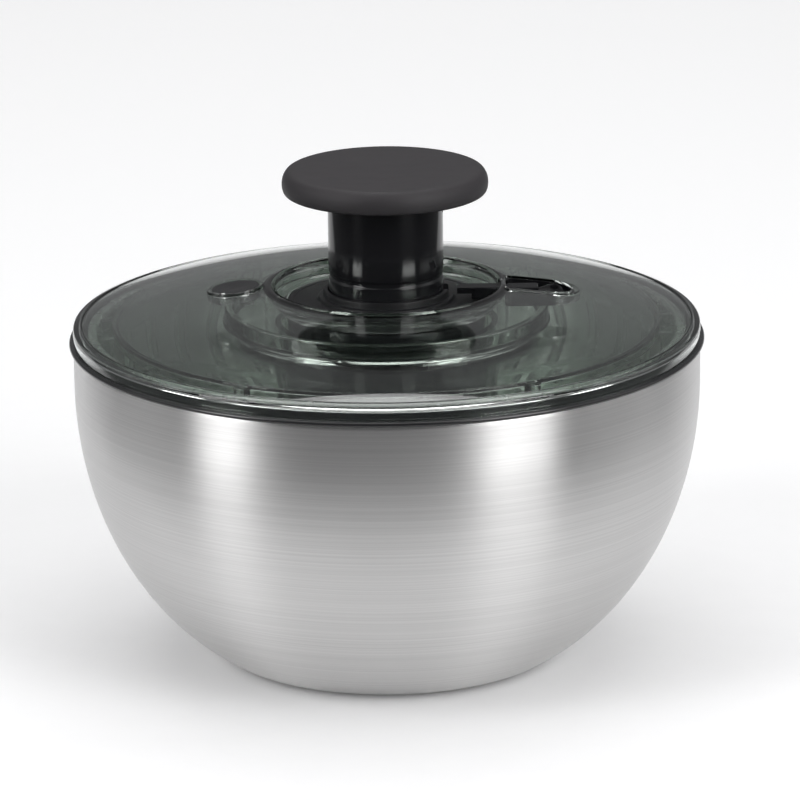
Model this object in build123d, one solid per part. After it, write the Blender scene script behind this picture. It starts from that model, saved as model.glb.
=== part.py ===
from build123d import *
import math
import os

# Pump-action salad spinner: steel bowl, slotted basket, clear lid with a knob pump.
# Millimetres. +Z is up, z = 0 is the table, the origin is under the bowl's centre.
# -X holds the brake button, +X holds the sliding catch, both on the lid.

# ---- driving dimensions ----
LIP_RADIUS = 135.0  # widest part: the seal's lip on the bowl's rim
BOWL_RADIUS = 133.1  # outside of the bowl's upright upper band
BOWL_RIM_Z = 137.0
BOWL_TURN_Z = 120.5  # where the curved wall becomes upright
BOWL_WALL = 0.9
FOOT_THICKNESS = 1.5  # non-slip ring under the bowl

BASKET_RADIUS = 124.8
BASKET_WALL = 2.0
BASKET_FLOOR_Z = 8.0
BASKET_RIM_Z = 142.0
SLOT_COLUMNS = 36
DRIVE_TABS = 6

LID_WALL = 2.2
LID_SKIRT_RADIUS = 133.2
LID_SKIRT_Z = 139.1
LID_CREASE_RADIUS = 129.5
LID_CREASE_Z = 145.7
DOME_RADIUS = 352.0  # radius of the dome's arc
DOME_AXIS_RADIUS = 23.6  # distance of that arc's centre from the main axis
WELL_RIM_RADIUS = 49.4
WELL_RIM_Z = 161.2
WELL_FLOOR_RADIUS = 41.8
WELL_FLOOR_Z = 154.7

TUBE_RADIUS = 24.4
TUBE_WALL = 2.0
TUBE_BOTTOM_Z = 146.0
KNOB_RADIUS = 43.7
KNOB_BOTTOM_Z = 201.3
KNOB_TOP_Z = 211.3
PUMP_STROKE = 36.0

HOUSING_RADIUS = 42.0
HOUSING_BOTTOM_Z = 101.5
HOUSING_TOP_Z = 149.0
HOUSING_WALL = 2.0
HOUSING_FLOOR = 3.5

SCREW_TURNS = 1.5  # turns of the shaft in one full pump stroke
SHAFT_RADIUS = 7.0
CLUTCH_TEETH = 12

BUTTON_X = -64.0
BUTTON_RADIUS = 10.3
LATCH_X = 70.0  # centre of the rounded outer end of the catch's pocket
TONGUE_TOP_Z = 159.7
TONGUE_TIP_X = 30.0

BRAKE_RING_IN = 65.0
BRAKE_RING_OUT = 68.5
BRAKE_RING_TOP = 151.5

FIT = 0.05  # radial clearance of a running fit
GAP = 0.3  # clearance between other parts that move past each other

BASE_UP = (Align.CENTER, Align.CENTER, Align.MIN)


# ---- shared shapes ----
def disc(radius, bottom, top):
    return Pos(0, 0, bottom) * Cylinder(radius, top - bottom, align=BASE_UP)


def ring(inner, outer, bottom, top):
    return disc(outer, bottom, top) - disc(inner, bottom - 1, top + 1)


def block(x_range, y_range, z_range):
    size = [high - low for low, high in (x_range, y_range, z_range)]
    middle = [(low + high) / 2 for low, high in (x_range, y_range, z_range)]
    return Pos(*middle) * Box(*size)


def turned(*edges):
    """A solid of revolution about Z from a closed outline drawn as (radius, height)."""
    return revolve(Plane.XZ * make_face(edges), Axis.Z)


def around(shape, count, start=0.0):
    """Copies of a shape, evenly spaced about Z."""
    return [Rot(0, 0, start + 360 * step / count) * shape for step in range(count)]


def stadium(radius, x_start, x_end, bottom, top):
    """A bar along X, square at x_start and rounded about x_end."""
    bar = block((x_start, x_end), (-radius, radius), (bottom, top))
    return bar + Pos(x_end, 0, 0) * disc(radius, bottom, top)


def dome_height(radius):
    lean = math.asin((radius - DOME_AXIS_RADIUS) / DOME_RADIUS)
    edge = math.asin((LID_CREASE_RADIUS - DOME_AXIS_RADIUS) / DOME_RADIUS)
    return LID_CREASE_Z + DOME_RADIUS * (math.cos(lean) - math.cos(edge))


def dome_arc(inner, outer, drop):
    """The dome's arc between two radii, moved down by drop."""
    middle = (inner + outer) / 2
    points = [(radius, dome_height(radius) - drop) for radius in (inner, middle, outer)]
    return ThreePointArc(*points)


def below_dome(rise):
    """Everything under the dome's outer face, moved up by rise."""
    inner, outer = 40.0, 100.0
    top = dome_arc(inner, outer, -rise)
    start, end = top @ 0, top @ 1
    return turned(
        top,
        Line(end, (outer, 100)),
        Line((outer, 100), (0, 100)),
        Line((0, 100), (0, start.Y)),
        Line((0, start.Y), start),
    )


# ---- bowl ----
def ellipse_wall(radius, height, drop_radius, foot_z):
    """Quarter-ellipse outline from the wall (radius, BOWL_TURN_Z) down to foot_z."""
    sweep_angle = math.degrees(math.asin((BOWL_TURN_Z - foot_z) / height))
    centre = (radius - drop_radius, BOWL_TURN_Z)
    return EllipticalCenterArc(centre, drop_radius, height, 0, arc_size=-sweep_angle)


BOWL_CURVE_WIDTH = 104.75
BOWL_CURVE_HEIGHT = 130.8
PIVOT_TOP_Z = 9.5
PIVOT_TOP_RADIUS = 4.0
PIVOT_FOOT_RADIUS = 12.8


def bowl_shell():
    inner_radius = BOWL_RADIUS - BOWL_WALL
    floor_z = FOOT_THICKNESS + BOWL_WALL
    outside = ellipse_wall(BOWL_RADIUS, BOWL_CURVE_HEIGHT, BOWL_CURVE_WIDTH, FOOT_THICKNESS)
    inside = ellipse_wall(
        inner_radius, BOWL_CURVE_HEIGHT - BOWL_WALL, BOWL_CURVE_WIDTH - BOWL_WALL, floor_z
    )
    under = [
        outside @ 1,
        (PIVOT_FOOT_RADIUS - BOWL_WALL, FOOT_THICKNESS),
        (PIVOT_TOP_RADIUS - BOWL_WALL / 2, PIVOT_TOP_Z - BOWL_WALL),
        (0, PIVOT_TOP_Z - BOWL_WALL),
        (0, PIVOT_TOP_Z),
        (PIVOT_TOP_RADIUS, PIVOT_TOP_Z),
        (PIVOT_FOOT_RADIUS, floor_z),
        inside @ 1,
    ]
    rim = [inside @ 0, (inner_radius, BOWL_RIM_Z), (BOWL_RADIUS, BOWL_RIM_Z), outside @ 0]
    return turned(outside, Polyline(*under), inside, Polyline(*rim))


def base_grip_ring():
    return ring(50.0, 67.0, 0, FOOT_THICKNESS)


# ---- basket and its bearing ----
HUB_RADIUS = 11.5
BEARING_RADIUS = 8.0
BEARING_TOP_Z = 16.5


def basket_pivot_bearing():
    clearance = 0.4
    slope = (PIVOT_FOOT_RADIUS - PIVOT_TOP_RADIUS) / (PIVOT_TOP_Z - FOOT_THICKNESS - BOWL_WALL)
    foot_z = 7.8
    foot_radius = PIVOT_TOP_RADIUS + clearance + (PIVOT_TOP_Z - foot_z) * slope
    outline = Polyline(
        (0, PIVOT_TOP_Z),
        (PIVOT_TOP_RADIUS + clearance, PIVOT_TOP_Z),
        (foot_radius, foot_z),
        (10.5, foot_z),
        (10.5, foot_z + 1.2),
        (BEARING_RADIUS, foot_z + 1.2),
        (BEARING_RADIUS, BEARING_TOP_Z),
        (0, BEARING_TOP_Z),
        (0, PIVOT_TOP_Z),
    )
    return turned(outline)


def basket_blank():
    """The strainer without its slots: bowl-like wall, floor and hub."""
    curve_width, curve_height = 96.5, 120.0
    floor_top = BASKET_FLOOR_Z + BASKET_WALL
    outside = ellipse_wall(BASKET_RADIUS, curve_height, curve_width, BASKET_FLOOR_Z)
    inside = ellipse_wall(
        BASKET_RADIUS - BASKET_WALL, curve_height - BASKET_WALL, curve_width - BASKET_WALL, floor_top
    )
    socket_top = BEARING_TOP_Z + GAP
    hub = [
        outside @ 1,
        (HUB_RADIUS, BASKET_FLOOR_Z),
        (HUB_RADIUS - 0.5, BASKET_FLOOR_Z + 1.3),
        (BEARING_RADIUS + FIT, BASKET_FLOOR_Z + 1.3),
        (BEARING_RADIUS + FIT, socket_top),
        (0, socket_top),
        (0, socket_top + BASKET_WALL),
        (HUB_RADIUS - 1.0, socket_top + BASKET_WALL),
        (HUB_RADIUS + 2.5, floor_top),
        inside @ 1,
    ]
    rim_radius = BASKET_RADIUS + 1.7
    rim = [
        inside @ 0,
        (BASKET_RADIUS - BASKET_WALL, BASKET_RIM_Z),
        (rim_radius, BASKET_RIM_Z),
        (rim_radius, BASKET_RIM_Z - 2.4),
        (BASKET_RADIUS, BASKET_RIM_Z - 2.4),
        outside @ 0,
    ]
    return turned(outside, Polyline(*hub), inside, Polyline(*rim))


def basket():
    # Tiers of upright slots in the wall, with wide windows on top: bottom, top and width of each.
    tiers = [(24.0, 50.0, 3.6), (58.0, 98.0, 4.6), (106.0, 125.5, 16.0)]
    cutters = []
    for bottom, top, width in tiers:
        slot = block((78.0, 140.0), (-width / 2, width / 2), (bottom, top))
        cutters += around(slot, SLOT_COLUMNS)
    floor_slot = block((22.0, 54.0), (-1.8, 1.8), (BASKET_FLOOR_Z - 2, BASKET_FLOOR_Z + 6))
    cutters += around(floor_slot, SLOT_COLUMNS // 2)
    strainer = basket_blank() - cutters
    # Pairs of ribs inside the rim take the drive disc's tabs.
    ribs = []
    for side in (-1, 1):
        rib = block((117.6, 123.5), (side * 4.6 - 0.9, side * 4.6 + 0.9), (128.0, 141.0))
        ribs += around(rib, DRIVE_TABS)
    return strainer + ribs


# ---- lid ----
def lid_blank():
    """The lid's turned shape: skirt, bead, dome, well wall and well flange."""
    inner_skirt = LID_SKIRT_RADIUS - 2.8
    shell_start = WELL_RIM_RADIUS + 2.2
    outer_dome = dome_arc(shell_start, LID_CREASE_RADIUS, 0)
    inner_dome = dome_arc(shell_start + 1.6, inner_skirt - 2.0, LID_WALL)
    flange_bottom, flange_top, flange_bore = HOUSING_TOP_Z, HOUSING_TOP_Z + LID_WALL, 30.0
    bead = ThreePointArc(
        (LID_SKIRT_RADIUS, LID_CREASE_Z - 2.0),
        (LID_SKIRT_RADIUS - 0.8, LID_CREASE_Z - 0.1),
        (LID_SKIRT_RADIUS - 2.2, LID_CREASE_Z + 0.3),
    )
    rim_roll = ThreePointArc(
        outer_dome @ 0, (WELL_RIM_RADIUS + 0.7, WELL_RIM_Z), (WELL_RIM_RADIUS - 0.9, WELL_RIM_Z - 0.5)
    )
    well_wall = ThreePointArc(
        (WELL_RIM_RADIUS - 0.9, WELL_RIM_Z - 0.5), (45.9, 156.9), (WELL_FLOOR_RADIUS, WELL_FLOOR_Z)
    )
    well_back = ThreePointArc((44.0, flange_bottom), (48.6, 153.8), inner_dome @ 0)
    return turned(
        Line((inner_skirt, LID_SKIRT_Z), (LID_SKIRT_RADIUS, LID_SKIRT_Z)),
        Line((LID_SKIRT_RADIUS, LID_SKIRT_Z), bead @ 0),
        bead,
        Line(bead @ 1, outer_dome @ 1),
        outer_dome,
        rim_roll,
        well_wall,
        Polyline(
            (WELL_FLOOR_RADIUS, WELL_FLOOR_Z),
            (WELL_FLOOR_RADIUS, flange_top),
            (flange_bore, flange_top),
            (flange_bore, flange_bottom),
            (44.0, flange_bottom),
        ),
        well_back,
        inner_dome,
        Line(inner_dome @ 1, (inner_skirt, LID_CREASE_Z - 3.0)),
        Line((inner_skirt, LID_CREASE_Z - 3.0), (inner_skirt, LID_SKIRT_Z)),
    )


BUTTON_TILT = math.degrees(math.asin((abs(BUTTON_X) - DOME_AXIS_RADIUS) / DOME_RADIUS))
BUTTON_FRAME = Pos(BUTTON_X, 0, dome_height(abs(BUTTON_X))) * Rot(0, -BUTTON_TILT, 0)
BUTTON_TRAVEL = 3.4
SLEEVE_IN = BUTTON_RADIUS + GAP
SLEEVE_OUT = 12.2
SPRING_SEAT_W = -9.8  # heights marked W are along the button's own axis, from the dome
POCKET_BOTTOM_Z = 152.6
POCKET_RADIUS = 9.3
BEZEL_RADIUS = 12.4
POCKET_START_X = 52.0
WELL_SCREW_RADIUS = 35.5
SCREW_HOLE = 1.55


def lid_dome():
    lid = lid_blank()
    # Brake button: a sleeve through the dome, with a small bridge under it for the spring.
    sleeve = ring(SLEEVE_IN, SLEEVE_OUT, -5.0, 1.0)
    post = ring(SLEEVE_IN, SLEEVE_OUT, -11.0, -4.0) & block((3, 7), (-20, 20), (-11, -4))
    bridge = block((3, 7), (-SLEEVE_OUT + 1.6, SLEEVE_OUT - 1.6), (-11.0, SPRING_SEAT_W))
    lid = lid - BUTTON_FRAME * disc(SLEEVE_OUT - 0.2, -8, 8)
    lid = lid + BUTTON_FRAME * (sleeve + post + bridge)
    # Catch: a deep-walled pocket with a raised edge, open to the well through a slot.
    bezel = stadium(BEZEL_RADIUS, POCKET_START_X - 3, LATCH_X, POCKET_BOTTOM_Z, 170)
    bezel = bezel & below_dome(0.6)
    bezel = bezel - disc(WELL_RIM_RADIUS + 0.5, 100, 200)
    lid = lid - stadium(BEZEL_RADIUS - 1, POCKET_START_X + 1, LATCH_X, POCKET_BOTTOM_Z, 170)
    pocket = stadium(POCKET_RADIUS, POCKET_START_X, LATCH_X, 150, 170)
    slot = block((40, POCKET_START_X + 1), (-4.6, 4.6), (WELL_FLOOR_Z + 0.05, TONGUE_TOP_Z + 0.5))
    lid = lid + bezel - pocket - slot
    holes = around(Pos(WELL_SCREW_RADIUS, 0, 0) * disc(SCREW_HOLE, 140, 153), 3, 60)
    return lid - holes


def rim_gasket():
    """Seal that holds the lid's skirt and sits on the bowl's rim, with a leg inside the bowl."""
    outline = Polyline(
        (128.5, 141.9),
        (128.8, 142.2),
        (130.0, 142.2),
        (130.3, 141.9),
        (130.3, LID_SKIRT_Z),
        (LIP_RADIUS - 0.6, LID_SKIRT_Z),
        (LIP_RADIUS, LID_SKIRT_Z - 0.6),
        (LIP_RADIUS, BOWL_RIM_Z + 0.6),
        (LIP_RADIUS - 0.6, BOWL_RIM_Z),
        (131.7, BOWL_RIM_Z),
        (131.7, 133.0),
        (130.7, 131.5),
        (129.3, 131.5),
        (128.5, 133.0),
        (128.5, 141.9),
    )
    return turned(outline)


def guide_collar():
    """Floor of the well, with the stepped collar that the plunger slides through."""
    bore = TUBE_RADIUS + GAP
    outline = Polyline(
        (bore, HOUSING_TOP_Z + LID_WALL),
        (WELL_FLOOR_RADIUS - 0.3, HOUSING_TOP_Z + LID_WALL),
        (WELL_FLOOR_RADIUS - 0.3, WELL_FLOOR_Z),
        (28.7, WELL_FLOOR_Z),
        (28.7, 156.2),
        (28.4, 156.5),
        (26.6, 156.5),
        (26.6, 159.1),
        (26.2, 159.5),
        (bore, 159.5),
        (bore, HOUSING_TOP_Z + LID_WALL),
    )
    tongue_slot = block((20, 40), (-4.4, 4.4), (156.8, 170))
    pilot = Pos(WELL_SCREW_RADIUS, 0, 0) * disc(SCREW_HOLE, 150, 154.2)
    return turned(outline) - tongue_slot - around(pilot, 3, 60)


GUIDE_IN = 27.2
GUIDE_OUT = 29.2
KEY_WIDTH = 2.4


def guide_sleeve():
    """Tube inside the can; two keys along it stop the plunger from turning."""
    bottom, top = HOUSING_BOTTOM_Z + HOUSING_FLOOR, HOUSING_TOP_Z + LID_WALL
    stop = ring(TUBE_RADIUS + GAP, GUIDE_IN + 0.5, 148.3, top)
    keys = [
        block((-KEY_WIDTH / 2, KEY_WIDTH / 2), side, (bottom, 148.5))
        for side in ((25.6, 28.0), (-28.0, -25.6))
    ]
    return ring(GUIDE_IN, GUIDE_OUT, bottom, top) + stop + keys


def mechanism_housing():
    """Can that closes the mechanism: side wall and the web that is screwed to the lid."""
    wall = ring(HOUSING_RADIUS - HOUSING_WALL, HOUSING_RADIUS, HOUSING_BOTTOM_Z, HOUSING_TOP_Z)
    web = ring(30.0, HOUSING_RADIUS - 1, HOUSING_TOP_Z - 2.2, HOUSING_TOP_Z)
    floor_top = HOUSING_BOTTOM_Z + HOUSING_FLOOR
    boss = Pos(36.5, 0, 0) * disc(4.2, floor_top, floor_top + 12)
    boss = boss + block((36.5, 41), (-1.2, 1.2), (floor_top, floor_top + 12))
    pilot = Pos(36.5, 0, 0) * disc(SCREW_HOLE, floor_top - 1, floor_top + 9)
    hole = Pos(WELL_SCREW_RADIUS, 0, 0) * disc(SCREW_HOLE, 140, 160)
    return wall + web + around(boss, 3) - around(pilot, 3) - around(hole, 3, 60)


def housing_base():
    bottom, top = HOUSING_BOTTOM_Z, HOUSING_BOTTOM_Z + HOUSING_FLOOR
    plate = ring(BUSH_RADIUS, HOUSING_RADIUS - HOUSING_WALL - 0.1, bottom, top)
    hole = Pos(36.5, 0, 0) * disc(SCREW_HOLE, bottom - 1, top + 1)
    recess = Pos(36.5, 0, 0) * disc(3.1, bottom - 1, bottom + 1.8)
    return plate - around(hole, 3) - around(recess, 3)


def small_screws(radius, head_bottom, shank_top, start):
    """Three round-head screws that point up, with a cross slot in each head."""
    head = disc(2.8, head_bottom, head_bottom + 1.7)
    head = head - block((-1.8, 1.8), (-0.35, 0.35), (head_bottom - 1, head_bottom + 0.9))
    head = head - block((-0.35, 0.35), (-1.8, 1.8), (head_bottom - 1, head_bottom + 0.9))
    screw = head + disc(SCREW_HOLE - FIT, head_bottom + 1.0, shank_top)
    return Compound(children=around(Pos(radius, 0, 0) * screw, 3, start))


def housing_screws():
    return small_screws(WELL_SCREW_RADIUS, HOUSING_TOP_Z - 2.2 - 1.7, 154.0, 60)


def base_screws():
    return small_screws(36.5, HOUSING_BOTTOM_Z + 0.1, HOUSING_BOTTOM_Z + 11.0, 0)


# ---- screw shaft and its bearing ----
JOURNAL_RADIUS = 5.5
BUSH_RADIUS = 8.0
BUSH_TOP_Z = HOUSING_BOTTOM_Z + HOUSING_FLOOR + 0.4
SHAFT_FLANGE_Z = BUSH_TOP_Z + 0.6
NUT_BOTTOM_Z = 146.4
PIN_Z = 148.4
PIN_RADIUS = 1.0
GROOVE_FLOOR = 5.2
GROOVE_HALF_WIDTH = 2.8
SHAFT_TOP_Z = 152.5
LEAD = PUMP_STROKE / SCREW_TURNS
SQUARE = 8.4  # side of the shaft's square that the clutch driver slides on
DISC_JOURNAL = 4.0
DISC_BOTTOM_Z = 87.0


def shaft_bush():
    bush = ring(JOURNAL_RADIUS + FIT, BUSH_RADIUS - 0.02, HOUSING_BOTTOM_Z, BUSH_TOP_Z - 0.2)
    return bush + ring(JOURNAL_RADIUS + FIT, 11.0, BUSH_TOP_Z - 0.4, BUSH_TOP_Z)


def thrust_washer():
    return ring(JOURNAL_RADIUS + FIT, 10.0, BUSH_TOP_Z, SHAFT_FLANGE_Z)


def helix_shaft():
    """Square drive end, journal, thrust flange and the twin-groove screw above it."""
    screw_bottom = SHAFT_FLANGE_Z + 2.0
    length = SHAFT_TOP_Z - screw_bottom
    reach = SHAFT_RADIUS + 1
    grooves = [
        Pos(side * (GROOVE_FLOOR + reach) / 2, 0) * Rectangle(reach - GROOVE_FLOOR, 2 * GROOVE_HALF_WIDTH)
        for side in (-1, 1)
    ]
    section = (Circle(SHAFT_RADIUS) - grooves).face()
    # The grooves face along X where the follower pins stand at rest, at PIN_Z.
    start_angle = -360 * (PIN_Z - screw_bottom) / LEAD
    section = Pos(0, 0, screw_bottom) * Rot(0, 0, start_angle) * section
    screw = Solid.extrude_linear_with_rotation(
        section, (0, 0, screw_bottom), (0, 0, length), 360 * length / LEAD
    )
    shaft = Part(screw.wrapped) + disc(11.0, SHAFT_FLANGE_Z, screw_bottom)
    shaft = shaft + disc(JOURNAL_RADIUS, HOUSING_BOTTOM_Z - 0.5, SHAFT_FLANGE_Z)
    square = block((-SQUARE / 2, SQUARE / 2), (-SQUARE / 2, SQUARE / 2), (92.6, HOUSING_BOTTOM_Z))
    shaft = shaft + (square & disc(JOURNAL_RADIUS - 0.1, 90, 103)) + disc(7.4, 91.4, 92.6)
    shaft = shaft + disc(DISC_JOURNAL, 83.4, 91.4) - ring(3.0, 6.0, 84.4, 85.2)
    return shaft + disc(3.5, SHAFT_TOP_Z, SHAFT_TOP_Z + 1.5)


def spring_seat():
    seat = disc(18.4, SHAFT_TOP_Z, SHAFT_TOP_Z + 2.5) + disc(14.6, SHAFT_TOP_Z + 2.5, SHAFT_TOP_Z + 4.5)
    return seat - disc(3.5 + FIT, SHAFT_TOP_Z - 1, SHAFT_TOP_Z + 1.5)


def coil_spring(radius, wire, bottom, top, turns):
    """Round-wire spring whose end coils stand just inside bottom and top."""
    low, high = bottom + wire + 0.05, top - wire - 0.05
    path = Helix((high - low) / turns, high - low, radius, center=(0, 0, low))
    section = Plane(path @ 0, z_dir=path % 0) * Circle(wire)
    return sweep(section, path=path, is_frenet=True)


def return_spring():
    return coil_spring(16.5, 0.8, SHAFT_TOP_Z + 2.5, TUBE_WEB_Z, 5.5)


# ---- freewheel clutch ----
DRIVER_BOTTOM_Z = 94.4
RING_TOP_Z = 93.6
DOG_HEIGHT = 2.0


def clutch_dogs(inner, outer, bottom, top, start):
    """Square clutch teeth that fill a little under half of each pitch."""
    dog = block((inner, outer), (-1.5, 1.5), (bottom, top))
    return around(dog, CLUTCH_TEETH, start)


def clutch_driver():
    bottom, top = DRIVER_BOTTOM_Z + 1.6, 100.6
    side = SQUARE + 2 * FIT
    bore = block((-side / 2, side / 2), (-side / 2, side / 2), (90, 110))
    body = ring(1.0, 19.0, bottom, top) + disc(2, bottom, top) - bore
    body = body + clutch_dogs(12.6, 18.6, DRIVER_BOTTOM_Z, bottom + 0.2, 0)
    return body - disc(8.4, DRIVER_BOTTOM_Z - 1, bottom + 2.0)


def clutch_ring():
    half_pitch = 180 / CLUTCH_TEETH
    base = ring(11.5, 20.0, DISC_BOTTOM_Z + 3.0, RING_TOP_Z - DOG_HEIGHT)
    return base + clutch_dogs(12.6, 19.4, RING_TOP_Z - DOG_HEIGHT - 0.2, RING_TOP_Z, half_pitch)


def clutch_spring():
    return coil_spring(6.6, 0.3, 92.6, DRIVER_BOTTOM_Z + 3.6, 3.0)


# ---- drive disc ----
FLANGE_Z = 143.0
DRUM_RADIUS = 46.5


def drive_disc():
    """Clear disc under the lid, with its brake ring, its tabs and the drum round the can."""
    inner = DRUM_RADIUS - 2.0
    drum = ring(inner, DRUM_RADIUS, DISC_BOTTOM_Z, FLANGE_Z + 2.0)
    hub_plate = ring(6.0, DRUM_RADIUS - 1, DISC_BOTTOM_Z, DISC_BOTTOM_Z + 3.0)
    flange = ring(inner, 116.0, FLANGE_Z, FLANGE_Z + 2.0)
    stiffener = ring(113.8, 116.0, FLANGE_Z - 3.0, FLANGE_Z + 0.5)
    brake = ring(BRAKE_RING_IN, BRAKE_RING_OUT, FLANGE_Z + 1.0, BRAKE_RING_TOP)
    tab = block((114.5, 121.0), (-2.6, 2.6), (137.5, FLANGE_Z + 2.0))
    return drum + hub_plate + flange + stiffener + brake + around(tab, DRIVE_TABS)


def disc_bush():
    bush = ring(DISC_JOURNAL + FIT, 5.95, DISC_BOTTOM_Z - 1.0, DISC_BOTTOM_Z + 4.0)
    return bush + ring(DISC_JOURNAL + FIT, 8.0, DISC_BOTTOM_Z + 3.0, DISC_BOTTOM_Z + 4.0)


def retaining_washer():
    return ring(DISC_JOURNAL + FIT, 9.0, 85.3, 85.9)


def retaining_clip():
    """Open spring clip in the groove at the shaft's lower end."""
    clip = ring(3.05, 6.6, 84.45, 85.15) - block((1.5, 8), (-1.9, 1.9), (84, 86))
    return clip - around(Pos(5.4, 0, 0) * disc(1.0, 84, 86), 2, 120)


# ---- plunger and knob ----
TUBE_WEB_Z = 201.5
TUBE_TOP_Z = 203.5
KNOB_SCREW_RADIUS = 9.5


def latch_notch(bottom):
    """Window in the tube's +X side that the catch's tongue enters."""
    return block((20, 27), (-4.5, 4.5), (bottom, bottom + 3.4))


def plunger_tube():
    tube = ring(TUBE_RADIUS - TUBE_WALL, TUBE_RADIUS, TUBE_BOTTOM_Z, TUBE_TOP_Z)
    web = disc(TUBE_RADIUS - 1, TUBE_WEB_Z, TUBE_TOP_Z)
    foot = ring(TUBE_RADIUS - TUBE_WALL, GUIDE_IN - GAP, TUBE_BOTTOM_Z, TUBE_BOTTOM_Z + 2.0)
    keyway = block((-KEY_WIDTH / 2 - GAP, KEY_WIDTH / 2 + GAP), (-30, 30), (140, 148.5))
    keyway = keyway - disc(25.2, 139, 150)
    groove = ring(TUBE_RADIUS - 0.5, TUBE_RADIUS + 2, 165.0, 167.2)
    notches = [latch_notch(156.8), latch_notch(156.8 + PUMP_STROKE)]
    holes = around(Pos(KNOB_SCREW_RADIUS, 0, 0) * disc(SCREW_HOLE, 199, 206), 3)
    return tube + web + (foot - keyway) - groove - notches - holes


def drive_nut():
    nut = ring(SHAFT_RADIUS + GAP, TUBE_RADIUS - TUBE_WALL - 0.02, NUT_BOTTOM_Z, NUT_BOTTOM_Z + 4.0)
    across = Rot(0, 90, 0) * Cylinder(PIN_RADIUS + FIT, 60)
    return nut - Pos(0, 0, PIN_Z) * across


def follower_pins():
    """Two cross pins, one from each side, whose tips run in the shaft's grooves."""
    length = 21.8 - GROOVE_FLOOR - GAP
    pin = Rot(0, 90, 0) * Cylinder(PIN_RADIUS, length)
    middle = GROOVE_FLOOR + GAP + length / 2
    return Compound(children=[Pos(side * middle, 0, PIN_Z) * pin for side in (-1, 1)])


def knob_core():
    socket = disc(TUBE_RADIUS + 0.02, 190, TUBE_TOP_Z)
    body = disc(40.7, KNOB_BOTTOM_Z + 0.6, KNOB_TOP_Z - 2.4)
    hollow = ring(27.5, 37.0, 190, KNOB_BOTTOM_Z + 5.5)
    rib = block((26.5, 38.0), (-0.9, 0.9), (KNOB_BOTTOM_Z + 1.4, KNOB_BOTTOM_Z + 6.0))
    holes = around(Pos(KNOB_SCREW_RADIUS, 0, 0) * disc(SCREW_HOLE, 200, KNOB_TOP_Z - 2.8), 3)
    return body - socket - hollow - holes + around(rib, 12, 15)


def knob_grip():
    """Soft skin: slightly dished top, round side band and a turned-in lower edge."""
    core_radius, core_top = 40.72, KNOB_TOP_Z - 2.4
    low, high = KNOB_BOTTOM_Z, KNOB_TOP_Z
    low_edge = ThreePointArc((KNOB_RADIUS - 2.6, low), (42.9, low + 0.7), (KNOB_RADIUS, low + 2.6))
    side = Line((KNOB_RADIUS, low + 2.6), (KNOB_RADIUS - 0.2, high - 4.4))
    high_edge = ThreePointArc((KNOB_RADIUS - 0.2, high - 4.4), (42.2, high - 1.4), (38.4, high))
    dish = Polyline((38.4, high), (27.0, high - 0.8), (0, high - 1.0))
    inside = Polyline(
        (0, high - 1.0),
        (0, core_top),
        (core_radius, core_top),
        (core_radius, low + 0.6),
        (38.6, low + 0.6),
        (38.6, low),
        (KNOB_RADIUS - 2.6, low),
    )
    return turned(low_edge, side, high_edge, dish, inside)


def knob_screws():
    return small_screws(KNOB_SCREW_RADIUS, TUBE_WEB_Z - 1.7, KNOB_TOP_Z - 3.2, 0)


# ---- brake button ----
def brake_button():
    """Cap with a skirt; the skirt is cut away where the drive disc's brake ring runs."""
    cap = disc(BUTTON_RADIUS, -1.8, 0.8) + ring(8.7, BUTTON_RADIUS, -6.0, -1.0)
    cap = cap - block((-6.3, 1.8), (-12, 12), (-8.0, -2.2))
    lip = cap.faces().sort_by(Axis.Z)[-1].edges()
    return BUTTON_FRAME * fillet(lip, 0.7)


def brake_shoe():
    pad = BUTTON_FRAME * block((-6.0, 0.4), (-5.0, 5.0), (-9.0, -1.8))
    return pad - block((-90, -40), (-20, 20), (100, BRAKE_RING_TOP + BUTTON_TRAVEL + 0.1))


def brake_spring():
    spring = coil_spring(2.1, 0.35, SPRING_SEAT_W, -1.8, 6.0)
    return BUTTON_FRAME * Pos(5.0, 0, 0) * spring


# ---- catch ----
def lock_tray():
    """Black liner of the catch's pocket, open towards the well."""
    outside = stadium(POCKET_RADIUS - 0.1, POCKET_START_X + 0.1, LATCH_X, POCKET_BOTTOM_Z, 170)
    inside = stadium(POCKET_RADIUS - 1.3, POCKET_START_X - 2, LATCH_X, POCKET_BOTTOM_Z + 1.4, 170)
    return (outside - inside) & below_dome(-0.6)


def lock_slider():
    """Thumb plate with a crescent ridge, and the tongue that reaches the plunger."""
    low = POCKET_BOTTOM_Z + 1.4 + GAP
    plate = stadium(7.6, 60.0, LATCH_X - 0.4, low, low + 2.2)
    ridge = Pos(LATCH_X - 1.6, 0, 0) * disc(7.0, low, 159.0) - Pos(LATCH_X - 5.4, 0, 0) * disc(8.2, 150, 170)
    bar = block((36.2, 61.5), (-3.9, 3.9), (WELL_FLOOR_Z + GAP, TONGUE_TOP_Z))
    tip = block((TONGUE_TIP_X, 37.0), (-3.9, 3.9), (157.2, TONGUE_TOP_Z))
    return plate + ridge + bar + tip


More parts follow.
